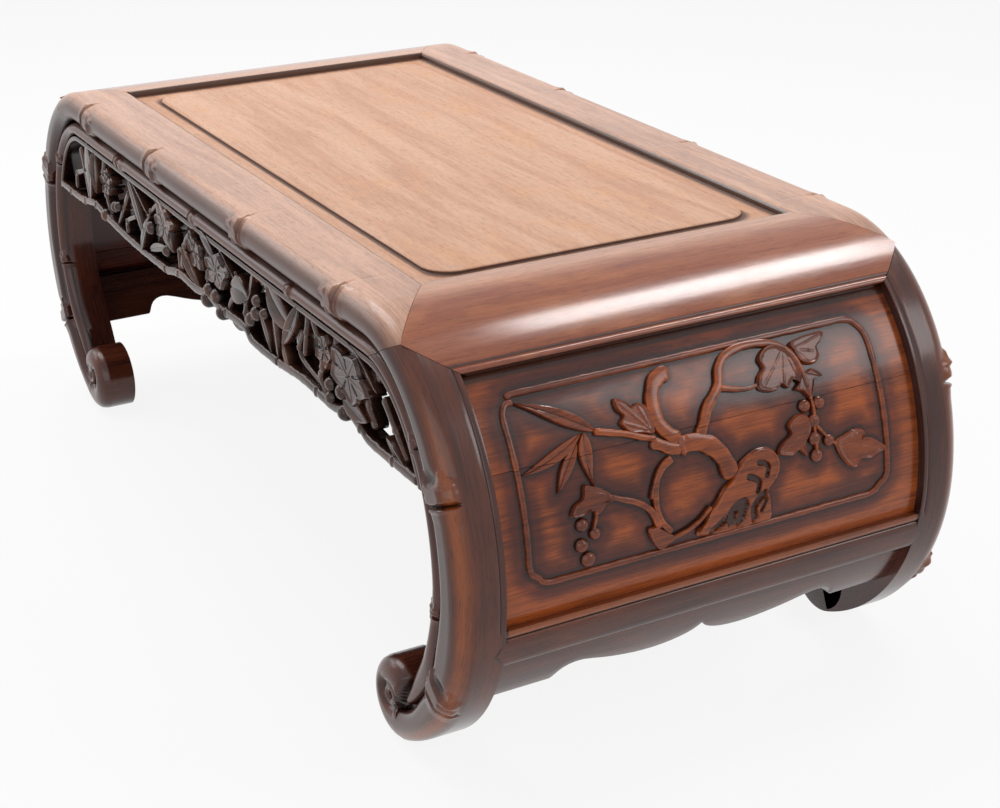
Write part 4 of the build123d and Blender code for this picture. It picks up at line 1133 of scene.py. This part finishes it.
# %% The bead round the field
left, right, top, bottom = -163, 146, 46.5, 180.5
bead_spacing = 9
bead = [
    (-157, 48.5), (-153, 46.8), (-146, top), (-60, top), (30, top), (128, top), (136, 48), (142, 53.5),
    (145, 60), (right, 68), (right, 120), (right, 165), (144, 171), (139, 174.5), (135, 178.5),
    (128, bottom), (40, bottom), (-60, bottom), (-146, bottom), (-153, 178.5), (-156.5, 174.5),
    (-161, 171), (left, 165), (left, 110), (left, 66), (-162, 58), (-158, 52.6), (-152, 52),
]
bead_points = []
for first, second in zip(bead, bead[1:]):
    count = max(1, int(math.dist(first, second) / bead_spacing))
    bead_points += [tuple(np.array(first) + np.subtract(second, first) * k / count) for k in range(count)]
relief.rod(bead_points + bead[-1:], 4.8, 2.3, tone=0.25)
print("the bead runs through", len(bead_points) + 1, "points")

# %% [markdown]
# The branches are the same stems as on the aprons, but squarer, because they stand on a ground and
# aren't cut free. An old branch with one knot comes from the left, hooks over the rock, and sends a
# long bough to the right.

# %% Branches: width, taper, distances of the knots, and a run of points
branches = [
    (5, 0.9, [], (-99, 83), (-88, 86), (-74, 90), (-62, 95), (-52, 98)),
    (9.5, 0.85, [], (-57, 100), (-50, 103), (-42, 107.5), (-33, 109.5)),
    (11.5, 0.9, [], (-27.5, 57), (-35, 56.5), (-42.5, 61), (-47.5, 70), (-49, 80), (-47, 89), (-41, 97),
     (-33, 103)),
    (13.5, 1.0, [2.5], (-36, 107.5), (-27, 106.5), (-18, 108), (-9, 112.5), (-2, 120), (2.5, 129),
     (5, 140)),
    (6, 0.6, [], (-42, 114), (-50, 118), (-56, 124.5), (-60, 133), (-62.5, 140)),
    (4.5, 1.0, [], (-57, 126), (-59.5, 138), (-59, 149), (-55, 159), (-48, 167)),
    (5.5, 0.7, [], (-58, 162), (-61, 153), (-66, 145.5), (-76, 138.5), (-87, 133.8), (-98, 129)),
    (8.5, 0.4, [], (-17, 104), (-11, 95), (-6, 86), (1, 79), (8, 72), (12, 62), (18, 55), (28, 51),
     (41, 49.6), (57, 51), (68, 55), (76, 63), (80, 74), (82, 88)),
    (4.6, 0.6, [], (8, 74), (20, 77), (32, 79), (40, 78)),
    (3.2, 0.8, [], (-53, 173), (-45, 171.5), (-35, 169), (-24, 164), (-14, 156)),
    (2.4, 0.8, [], (-108, 137), (-109, 143), (-112, 150)),
    (2.4, 0.8, [], (82, 92), (83, 106), (81, 120), (81, 136)),
    (2.4, 0.8, [], (83, 117), (88, 123), (94, 130)),
    (2.4, 0.8, [], (94, 131), (100, 134)),
]
for width, taper, knots, *points in branches:
    relief.rod(points, width, relief_rise + 0.05 * width, taper, knots, tone=0.7, square=0.5)
print(len(branches), "branches")

# %% [markdown]
# Four bamboo leaves spread from the tip of the left branch. They are the blades of the aprons, with one
# side lower than the other, and each has its widest place nearer to one end.

# %% Bamboo leaves: width, bend, widest place, tip and end
bamboo_leaves = [
    (10.5, -1.5, 1.5, (-154, 52.5), (-97, 83)),
    (8.5, 2.5, 1.2, (-161, 101.5), (-109, 82)),
    (8.5, -1, 1.2, (-135.5, 119), (-114, 88)),
    (10.5, -2.5, 1.7, (-107, 121), (-107, 82)),
]
for width, bend_by, peak, tip, end in bamboo_leaves:
    relief.blade(tip, end, width, relief_rise, bend_by, 0.45, peak)
print(len(bamboo_leaves), "bamboo leaves")

# %% [markdown]
# The grape leaves are broad and lobed, and no two are alike. A rule made them too regular, so each has
# an outline of its own, and its veins run from one start to a few tips.

# %% Grape leaves: start and tips of the veins, then the outline
grape_leaves = [
    (((-54, 92), (-75, 68), (-60, 74), (-75, 82)),
     [(-77.5, 64.5), (-70, 68), (-65.5, 72.5), (-60, 70.5), (-54, 74.5), (-52.5, 84), (-52, 94),
      (-62, 92), (-71, 90), (-77.5, 82), (-73.5, 77), (-77.5, 72)]),
    (((-93, 131), (-112, 122), (-124, 136), (-108, 138)),
     [(-115, 117.5), (-107, 120), (-99, 124.5), (-91, 132), (-99, 134), (-104, 139), (-108, 140),
      (-112, 136.5), (-119, 138.5), (-128, 137.5), (-125, 130.5), (-117.5, 126)]),
    (((71, 57), (44, 81), (63, 81), (50, 60), (76, 78)),
     [(40, 81), (42, 73), (48, 67), (46.5, 61), (51, 56), (58, 53), (67, 54), (75, 60), (79, 68),
      (79.5, 77), (77, 84), (74, 79), (70, 81.5), (65, 85.5), (60, 81.5), (55, 85), (48, 85)]),
    (((79, 60), (104, 54), (95, 64), (88, 70)),
     [(77, 55), (86, 52.5), (97, 51.5), (109, 52), (103.5, 59), (99, 62), (98.5, 68.5), (94, 72.5),
      (87, 72), (81, 69), (78, 62)]),
    (((80, 76), (82, 92), (94, 81), (73, 87)),
     [(78, 74), (84, 76.5), (90, 75.5), (97, 82), (89.5, 83), (86.5, 89), (82, 96), (77, 90.5),
      (70.5, 87.5), (76, 82)]),
    (((78, 115), (61, 112), (51, 130), (70, 134)),
     [(46.5, 130.5), (51, 124), (60, 118.5), (58.5, 112.5), (64, 107.5), (71, 105.5), (77, 109),
      (78, 117), (74, 124), (71, 128.5), (71.5, 138), (65, 131.5), (59, 134.5), (52, 133)]),
    (((100, 134), (121, 130), (141, 146), (115, 151)),
     [(98, 132), (107, 129), (116, 126.5), (123, 127.5), (125, 131.5), (123, 134.5), (131, 136),
      (138, 140.5), (145, 146.5), (138, 148.5), (129, 151.5), (121, 150), (118, 153), (114, 156),
      (107.5, 151.5), (102, 144), (99.5, 138)]),
]
for veins, outline in grape_leaves:
    relief.leaf(outline, relief_rise + 0.2, [veins], tone=0.4)
print(len(grape_leaves), "grape leaves")

# %% [markdown]
# A pierced scholar's rock stands at the foot of the branches. It is a broad leaf as well, without veins
# and with crescent hollows scooped out of it, which are painted dark as shade. A narrow rod along its
# left and upper side is the rim that catches light; its pale colour is a painted highlight.

# %% Foot of the old trunk, the bud beside it, and the rock with its hollows and its rim
trunk_foot = [
    (-67, 163), (-62, 159.5), (-56, 163), (-49, 168), (-45, 172), (-52, 176), (-58, 178), (-63, 173)]
rock = [
    (-26.5, 175), (-20, 167), (-15, 159), (-9, 153.5), (-3, 145.5), (4, 141), (9, 135), (14, 129),
    (21, 125), (29, 122.5), (37, 123), (43, 127), (46.5, 134), (46, 142), (42, 149), (37, 153.5),
    (37, 159), (38, 168), (37, 178), (20, 178.5), (5, 178.5), (-10, 178),
]
rock_hollows = [
    (2.4, 2.6, (29, 133), (34, 134.5), (36.5, 138.5), (35, 143)),
    (2.6, 2.6, (19, 141.5), (24, 143.5), (27.5, 147.5), (26, 153)),
    (4.5, 3.0, (3, 172), (3, 165), (9, 160), (14, 160), (12, 167), (10, 173)),
    (3.4, 3.0, (23, 174), (22, 166), (26, 160), (32, 156.5)),
    (2.2, 2.2, (33, 162), (29, 168)),
    (3.5, 3.0, (-14, 175), (-8, 171), (-3, 168)),
]
rock_rim = [
    (-25, 174), (-18.5, 167), (-13.5, 159.5), (-8, 154.5), (-2, 147), (5, 142.3), (10, 136.3),
    (15.2, 130.5), (21.7, 126.8), (29, 124.2), (36.5, 124.8), (42, 128.5), (45, 134.5), (44.5, 141.5),
    (41, 147.8),
]
relief.leaf(trunk_foot, relief_rise, tone=0.5, dish=0.1)
relief.berry((-65, 162), 2.8, relief_rise + 0.6, tone=0.5)
relief.leaf(
    rock, relief_rise + 0.4, centre=(16, 150), tone=0.7, dish=0.0, rings=56, hollows=rock_hollows)
relief.rod(rock_rim, 2.8, relief_rise + 1.1, 0.7, tone=0.9)
print("a rock with", len(rock_hollows), "hollows")

# %% [markdown]
# The grapes hang in two bunches. Each is a low dome that stands higher than the leaves.

# %% Grapes: centre and radius
grapes = [
    ((-120, 145), 5.2), ((-110.5, 153), 4.8), ((-121.5, 159.5), 5.4), ((-116.5, 171), 6),
    ((76, 101), 5.4), ((89, 101), 5.4), ((82, 113.5), 5.4), ((80.5, 126), 5.6), ((93, 130), 4.8),
    ((81, 139), 5.4),
]
for centre, radius in grapes:
    relief.berry(centre, radius, 4.6, 0.3)
print(len(grapes), "grapes")

# %% [markdown]
# The ground between the forms is one grid over the whole board. Its wear value falls close to a form,
# so the ground is darker there, and its tone rises only well away from every form. For that each
# point of the ground needs its distance to the outlines that the carving kept. Just under the lip of
# the rail above, the ground is painted dark as shade. A plain back closes the board.

# %% The ground, darker beside the carving, with painted shade under the rail
marks = np.vstack(relief.marks)[::2]
ground_y = np.linspace(-185, 177, 182)
ground_s = np.linspace(2, 232, 130)
board_depth = 10.5

drawn = np.stack(np.meshgrid(ground_y, ground_s), -1)
blocks = np.array_split(drawn.reshape(-1, 2), 60)
apart = np.concatenate([nearest(block, marks)[0] for block in blocks]).reshape(drawn.shape[:2])
ripple = np.sin(drawn[..., 0] * 0.23 + 2 * np.sin(drawn[..., 1] * 0.11))
rough_ground = 0.015 * ripple * np.sin(drawn[..., 1] * 0.19)
# Painted shade: the ground just under the lip of the rail above stays dark.
below_rail = step(drawn[..., 1], 33, 37)
ground_wear = (0.12 + 0.6 * step(apart, 0.5, 6.5)) * below_rail
end_panel.grid(
    on_end(drawn, rough_ground), np.dstack([drawn, 0 * apart]), ground_wear, 0.9 * step(apart, 6, 17))
rear = np.stack(np.meshgrid(ground_y[[0, -1]], ground_s), -1)
rear_height = np.full(rear.shape[:2], -board_depth)
end_panel.grid(on_end(rear, rear_height), np.dstack([rear, 0 * rear_height]), 0.3)
print("end panel has", end_panel.count, "points")

# %% [markdown]
# ## Shader values as numbers
# A wood shader is mostly arithmetic: so much fibre, so much figure, less where it is worn. Wiring Math
# nodes by hand hides that arithmetic. `Socket` wraps one output of a node, and each sum, difference or
# product of sockets adds its own Math node, so that the recipe for the wood reads like a formula.
# `soft` is `step` for shaders.


# %% Shader values as arithmetic
class Socket:
    """One shader value."""

    def __init__(self, graph, output):
        self.graph, self.output = graph, output

    def _with(self, operation, first, second):
        settings = {"operation": operation}
        node = self.graph.node("ShaderNodeMath", settings, **{"0": first, "1": second})
        return self.graph.out(node)

    def __add__(self, other):
        return self._with("ADD", self, other)

    def __sub__(self, other):
        return self._with("SUBTRACT", self, other)

    def __rsub__(self, other):
        return self._with("SUBTRACT", other, self)

    def __mul__(self, other):
        return self._with("MULTIPLY", self, other)

    __radd__ = __add__
    __rmul__ = __mul__

    def larger(self, other):
        """The larger one of two values."""
        return self._with("MAXIMUM", self, other)

    def soft(self, low, high):
        """Soft switch of this value, from 0 at low to 1 at high."""
        settings = {"interpolation_type": "SMOOTHSTEP"}
        node = self.graph.node(
            "ShaderNodeMapRange", settings, **{"Value": self, "From Min": low, "From Max": high})
        return self.graph.out(node)


# %% [markdown]
# ## Nodes
# Everything that isn't arithmetic comes from one method, `node`: a kind of node, its settings, and what
# goes into its sockets. Materials and the world own the same kind of node tree, so one class serves
# both. The other methods are short names for the few nodes that the wood uses often.


# %% The node tree of a material or of the world
class Graph:
    """The node tree of a material or a world, emptied first."""

    def __init__(self, owner):
        owner.use_nodes = True
        self.owner, self.tree = owner, owner.node_tree
        self.tree.nodes.clear()

    def node(self, kind, settings=None, **sockets):
        """A node with its settings, and its sockets set or linked by name or number."""
        node = self.tree.nodes.new(kind)
        for key, value in (settings or {}).items():
            setattr(node, key, value)
        for key, value in sockets.items():
            place = node.inputs[int(key) if key.isdigit() else key]
            if isinstance(value, Socket):
                self.tree.links.new(value.output, place)
            else:
                place.default_value = value
        return node

    def out(self, node, name=0):
        """One output of a node, as a Socket."""
        return Socket(self, node.outputs[name])

    def level(self, value):
        """A plain number, as a Socket."""
        level = self.out(self.node("ShaderNodeValue"))
        level.output.default_value = value
        return level

    def painted(self, name, output):
        """Values that the mesh carries at its points."""
        return self.out(self.node("ShaderNodeAttribute", {"attribute_name": name}), output)

    def blend(self, share, first, second):
        """Mix of two colours."""
        node = self.node("ShaderNodeMix", {"data_type": "RGBA"}, **{"0": share, "6": first, "7": second})
        return self.out(node, 2)

    def vector_math(self, operation, first, second):
        """Two vectors added or multiplied part by part."""
        node = self.node("ShaderNodeVectorMath", {"operation": operation}, **{"0": first, "1": second})
        return self.out(node)

    def vector(self, x, y, z):
        """A vector from three values."""
        return self.out(self.node("ShaderNodeCombineXYZ", {}, X=x, Y=y, Z=z))


# %% [markdown]
# ## The recipe for wood
# The table is one dense, dark hardwood under an old stain and polish. An image of wood would stretch
# over the carving. Instead the wood is worked out in the `grain` coordinates that every mesh carries,
# which run along the fibres of each board. Three noises, drawn out along the fibres, are its slow
# figure, its fibres and its fine pores. A low wear value darkens hollows, grooves and undersides as
# painted shade. A high tone value gives the lighter colour of what hands and cloths have rubbed, and
# also paints light: the lit top faces of the frame and highlights along ridges, beads and rims. Two
# cloudy noises rub the finish through in patches. Every board adds a random shift, so that no two look
# alike.


# %% Wood under an old polish
def wood(name, dark, base, warm, pale, lit=None, patchy=0.5, streak=1.0, rough=0.3, coat=0.5,
         hollow=0.85, ior=1.4, even=0.45, carried=False):
    """A polished hardwood, from dark hollows to pale fibres.

    lit is its colour where the tone value is 1, which is a rubbed colour and also painted light, and
    even is how far that colour ignores the grain. hollow is how dark the painted shade gets where the
    wear value is low. With carried the grain follows the object's own coordinates, for pieces that
    come from the CAD model.
    """
    g = Graph(bpy.data.materials.new(name))
    if carried:
        own_place = g.out(g.node("ShaderNodeTexCoord"), "Object")
        parts = g.node("ShaderNodeSeparateXYZ", {}, **{"0": own_place})
        place = g.vector(g.out(parts, 1) * 1000, g.out(parts, 0) * 1000, g.out(parts, 2) * 1000)
        wear, tone = g.level(0.7), g.level(0.0)
    else:
        place = g.painted("grain", "Vector")
        wear, tone = g.painted("wear", "Fac"), g.painted("tone", "Fac")
    own = g.out(g.node("ShaderNodeObjectInfo"), "Random")
    place = g.vector_math("ADD", place, g.vector(own * 900, own * 130, own * 70))

    def noise(lengthwise, crosswise, detail, roughness, twist=0.0):
        """Noise drawn out along the fibres; a smaller number draws it out more."""
        stretched = g.vector_math("MULTIPLY", place, (lengthwise, crosswise, crosswise))
        return g.out(g.node("ShaderNodeTexNoise", {}, **{
            "Vector": stretched, "Scale": 1.0, "Detail": detail, "Roughness": roughness,
            "Distortion": twist}))

    figure = noise(0.004, 0.045, 3.0, 0.5, 1.2)
    fibre = noise(0.02, 0.5, 5.0, 0.65)
    pores = noise(0.09, 1.7, 2.0, 0.5)
    cloud = noise(0.012, 0.02, 3.0, 0.6, 0.4)
    rubbed = noise(0.03, 0.06, 4.0, 0.6)
    fine = noise(0.15, 0.3, 3.0, 0.6)

    grain = (figure * 0.55 + fibre * 0.45).soft(0.36, 0.64)
    colour = g.blend(grain * streak, base, pale)
    patches = cloud.soft(0.45, 0.66) * rubbed.soft(0.35, 0.65) * patchy
    colour = g.blend(patches * wear, colour, warm)
    # Where the tone value is high the colour turns to lit: a rubbed colour, and painted light on lit faces,
    # ridges, beads and rims.
    if lit:
        colour = g.blend(tone * (even + (0.8 - even) * grain + 0.2 * rubbed), colour, lit)
    colour = g.blend((1 - pores.soft(0.36, 0.44)) * 0.35, colour, dark)
    # Painted shade: where the wear value is low the colour turns dark, more so the higher hollow is.
    colour = g.blend((1 - (wear + fine * 0.16 - 0.08).soft(0.0, 0.62)) * hollow, colour, dark)
    shine = rough + fibre * 0.12 - wear * 0.08 + cloud.soft(0.4, 0.7) * 0.05
    bump = g.node("ShaderNodeBump", {}, **{
        "Strength": 0.25, "Distance": 0.0004, "Height": fibre * 0.6 + pores * 0.3 + rubbed * 0.6})
    shader = g.node("ShaderNodeBsdfPrincipled", {}, **{
        "Base Color": colour, "Roughness": shine, "Coat Weight": coat, "Coat Roughness": 0.12, "IOR": ior,
        "Normal": g.out(bump)})
    g.node("ShaderNodeOutputMaterial", {}, Surface=g.out(shader))
    print(name, "has", len(g.tree.nodes), "nodes")
    return g.owner


# %% [markdown]
# The top is the palest part: it lies in the light and every tray has rubbed it. It is waxed, so it has
# almost no coat and a broad, soft sheen. The frame round it is darker and has a little more polish, but
# its flat top face and the top of its nosing are painted in a pale lit colour.

# %% Finishes of the top
top_wood = wood(
    "top_wood", dark=(0.05, 0.013, 0.007, 1), base=(0.54, 0.27, 0.16, 1),
    warm=(0.66, 0.34, 0.17, 1), pale=(0.76, 0.47, 0.32, 1),
    streak=0.65, patchy=0.6, rough=0.42, coat=0.05, hollow=0.9, ior=1.36)
rail_wood = wood(
    "rail_wood", dark=(0.014, 0.004, 0.003, 1), base=(0.085, 0.022, 0.013, 1),
    warm=(0.18, 0.05, 0.018, 1), pale=(0.14, 0.042, 0.02, 1), lit=(0.72, 0.40, 0.27, 1),
    rough=0.3, coat=0.25)

# %% [markdown]
# The rolled end rails are the most handled part and shine like lacquer, so they are the smoothest and
# warmest; their flat part is painted in a pale lit colour that fades where the roll turns down. Legs and
# end panels are stained darker. The panels' raised parts are rubbed back to red, and the flanks of
# their stems and the rock's rim carry a painted highlight. On the legs, the red along the ridge and on
# the lower rails' bead is a painted highlight. The panels keep more of their own colour on the ground of
# the carving.

# %% Finishes of the ends and the legs
roll_wood = wood(
    "roll_wood", dark=(0.02, 0.005, 0.003, 1), base=(0.25, 0.052, 0.017, 1),
    warm=(0.46, 0.145, 0.04, 1), pale=(0.36, 0.1, 0.033, 1), lit=(0.70, 0.36, 0.21, 1),
    patchy=0.8, rough=0.15, coat=0.45)
leg_wood = wood(
    "leg_wood", dark=(0.006, 0.002, 0.002, 1), base=(0.045, 0.009, 0.006, 1),
    warm=(0.19, 0.04, 0.011, 1), pale=(0.115, 0.026, 0.011, 1), lit=(0.36, 0.09, 0.02, 1),
    rough=0.22, coat=0.35, ior=1.37)
panel_wood = wood(
    "panel_wood", dark=(0.005, 0.0015, 0.002, 1), base=(0.06, 0.008, 0.004, 1),
    warm=(0.34, 0.062, 0.009, 1), pale=(0.13, 0.02, 0.007, 1), lit=(0.54, 0.12, 0.02, 1),
    patchy=0.85, rough=0.2, coat=0.25, ior=1.36, even=0.1)

# %% [markdown]
# The pierced aprons hang in the shade of the top. Their hollows are painted almost black as shade, and
# only their high points are polished. The battens, keys and pegs inside are bare wood: one even tone
# without patches or coat.

# %% Finishes of the aprons and of the hidden pieces
carved_wood = wood(
    "carved_wood", dark=(0.002, 0.001, 0.001, 1), base=(0.022, 0.008, 0.006, 1),
    warm=(0.21, 0.075, 0.036, 1), pale=(0.1, 0.04, 0.026, 1),
    patchy=0.9, rough=0.08, coat=0.25, hollow=0.97, ior=1.33)
inner_wood = wood(
    "inner_wood", dark=(0.02, 0.009, 0.006, 1), base=(0.09, 0.035, 0.02, 1),
    warm=(0.12, 0.05, 0.025, 1), pale=(0.13, 0.055, 0.03, 1),
    patchy=0.2, rough=0.5, coat=0.1, carried=True)

# %% [markdown]
# ## Making the pieces
# The table mirrors about its two middle planes, so each shape is made once and mirrored to the other
# side or the other end. Each piece is sawn at its mitres and joints, and takes the place of the board
# that it stands for.

# %% Long rails and legs
for name, side in (("top_front_rail", 1), ("top_back_rail", -1)):
    cuts = []
    for end in (1, -1):
        cuts.append(mirrored(joint_normal, end, 1))
        cuts.append(mirrored(-mitre_normal, end, 1))
    make_piece(name + "_wood", front_rail, rail_wood, [name], (1, side), cuts)

leg_flips = {
    "leg_front_right": (1, 1), "leg_front_left": (-1, 1),
    "leg_back_right": (1, -1), "leg_back_left": (-1, -1)}
leg_cuts = [mirrored(-joint_normal, 1, 1), mirrored(-cap_normal, 1, 1)]
for name, flip in leg_flips.items():
    make_piece(name + "_wood", leg, leg_wood, [name], flip, leg_cuts)

# %% [markdown]
# Both ends have the same five pieces. The carved panel is used twice: once the saw keeps what is above
# the board's joint, and once what is below it.

# %% The pieces of the two ends
end_cuts = []
for side in (1, -1):
    end_cuts.append(mirrored(mitre_normal, 1, side))
    end_cuts.append(mirrored(cap_normal, 1, side))
above_joint = [((0, 0, board_joint), (0, 0, 1))]
below_joint = [((0, 0, board_joint), (0, 0, -1))]
end_pieces = [
    ("top_{}_end_rail", end_rail, roll_wood, "rail_wood", end_cuts),
    ("end_panel_upper_{}", end_panel, panel_wood, "panel_wood", above_joint),
    ("end_panel_lower_{}", end_panel, panel_wood, "panel_wood", below_joint),
    ("end_rail_{}", lower_rail, leg_wood, "leg_wood", []),
    ("end_apron_{}", end_apron, leg_wood, "leg_wood", []),
]
for end, flip in (("right", (1, 1)), ("left", (-1, 1))):
    for pattern, shape, material, slot, cuts in end_pieces:
        name = pattern.format(end)
        make_piece(name + "_wood", shape, material, [name], flip, cuts)

# %% [markdown]
# The top panel and the aprons aren't sawn. Their edges lie hidden in the grooves that hold them.

# %% Top panel and long aprons
make_piece("top_panel_wood", top_panel, top_wood, ["top_panel"])
for name, side in (("front_apron", 1), ("back_apron", -1)):
    make_piece(name + "_wood", front_apron, carved_wood, [name], (1, side))

# %% [markdown]
# Under the top, three battens hold the panel, loose keys lock the mitres and pegs hold the aprons up.
# Nobody sees more than a glimpse of them, so the CAD model's own shapes are good enough and only get a
# material.

# %% Bare wood for the hidden pieces that come from the CAD model
carried = ("panel_batten_left", "panel_batten_centre", "panel_batten_right", "corner_keys", "apron_pegs")
for name in carried:
    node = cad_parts[name]
    node.data.materials.clear()
    node.data.materials.append(inner_wood)
print("carried over:", ", ".join(carried))

# %% [markdown]
# ## The studio
# The table stands in a white room. A white world alone would light every hollow from all sides and
# flatten the carving, so the surroundings are bright only where they are looked at, by the camera, in a
# reflection or through glass, and they give the wood a quarter of that light. The lamps then model the
# forms.


# %% White surroundings
def looked_at(graph):
    """1 for rays that look at a thing, 0 for the light that falls from it on other surfaces."""
    rays = graph.node("ShaderNodeLightPath")
    seen = graph.out(rays, "Is Camera Ray")
    for kind in ("Is Glossy Ray", "Is Transmission Ray"):
        seen = seen.larger(graph.out(rays, kind))
    return seen


world = bpy.data.worlds.new("studio")
bpy.context.scene.world = world
studio = Graph(world)
white_room = studio.node("ShaderNodeBackground", {}, **{
    "Color": (1, 1, 1, 1), "Strength": 0.25 + looked_at(studio) * 0.75})
studio.node("ShaderNodeOutputWorld", {}, Surface=studio.out(white_room))
print("the world has", len(studio.tree.nodes), "nodes")

# %% [markdown]
# Five soft lamps stand round the table. The narrow one overhead leaves the bright streak on the rolled
# end, the wide sky lights the top, the window behind draws the far edges, and the two large lamps in
# front are weak: they open the shadows under the rails. Large areas keep their reflections in the
# polish soft.


# %% Lamps: place, aim, width and height in metres, then watts
def soft_light(name, place, aim, size, watts, colour=(1, 1, 1)):
    """Area light at place, pointed at aim; metres and watts."""
    lamp = bpy.data.lights.new(name, "AREA")
    lamp.shape = "RECTANGLE"
    lamp.size, lamp.size_y = size
    lamp.energy = watts
    lamp.color = colour
    thing = bpy.data.objects.new(name, lamp)
    thing.location = place
    thing.rotation_euler = (Vector(aim) - Vector(place)).to_track_quat("-Z", "Y").to_euler()
    bpy.context.scene.collection.objects.link(thing)
    print(name, watts, "W")


cool_white = (0.93, 0.97, 1)
soft_light("overhead", (0.12, 1.12, 2.0), (0.2, 0, 0.3), (0.4, 0.7), 13)
soft_light("sky", (-1.1, -0.3, 2.1), (0, 0, 0.3), (1.6, 1.4), 30)
soft_light("window", (1.7, 1.3, 1.4), (0.3, 0, 0.2), (0.7, 0.9), 8)
soft_light("left", (-1.7, -1.3, 1.2), (0, -0.1, 0.2), (1.3, 0.9), 7, cool_white)
soft_light("fill", (1.7, -1.6, 1.0), (0.2, 0, 0.15), (2.2, 1.6), 9)

# %% [markdown]
# The floor is a white sweep that shows hardly any shadow. A shadow catcher would leave the picture
# without a floor, so the floor mixes a pale surface, which takes the shadows, with a white glow that
# only shows where it is looked at. The wood gets no light from that glow.

# %% The floor
sweep = Graph(bpy.data.materials.new("pale_floor"))
pale = sweep.node("ShaderNodeBsdfPrincipled", {}, **{"Base Color": (0.86, 0.86, 0.86, 1), "Roughness": 0.9})
glow = sweep.node("ShaderNodeEmission", {}, **{"Color": (1, 1, 1, 1), "Strength": 1.0})
both = sweep.node("ShaderNodeMixShader", {}, **{
    "0": looked_at(sweep) * 0.88, "1": sweep.out(pale), "2": sweep.out(glow)})
sweep.node("ShaderNodeOutputMaterial", {}, Surface=sweep.out(both))
bpy.ops.mesh.primitive_plane_add(size=30, location=(0, 0, 0))
floor = bpy.context.object
floor.name = "floor"
floor.data.materials.append(sweep.owner)
print("the floor has", len(sweep.tree.nodes), "nodes")

# %% [markdown]
# ## Camera
# A camera could be aimed with a Track To constraint, but that keeps the horizon level. This one is held
# slightly askew, so its three directions are worked out from its yaw, its pitch and its tilt.

# %% The camera
yaw, pitch, tilt = math.radians(61.68), math.radians(23.30), math.radians(-0.813)
forward = Vector((-math.sin(yaw) * math.cos(pitch), math.cos(yaw) * math.cos(pitch), -math.sin(pitch)))
side = Vector((math.cos(yaw), math.sin(yaw), 0))
up = side.cross(forward)
side, up = math.cos(tilt) * side + math.sin(tilt) * up, -math.sin(tilt) * side + math.cos(tilt) * up
lens = bpy.data.cameras.new("camera")
lens.lens = 68.97
lens.sensor_width = 36
camera = bpy.data.objects.new("camera", lens)
turned = Matrix((side, up, -forward)).transposed().to_4x4()
camera.matrix_world = Matrix.Translation((1.482, -0.7235, 0.8003)) @ turned
bpy.context.scene.collection.objects.link(camera)
bpy.context.scene.camera = camera
bpy.context.scene.view_settings.view_transform = "Standard"
print("the camera looks along", [round(part, 3) for part in forward])
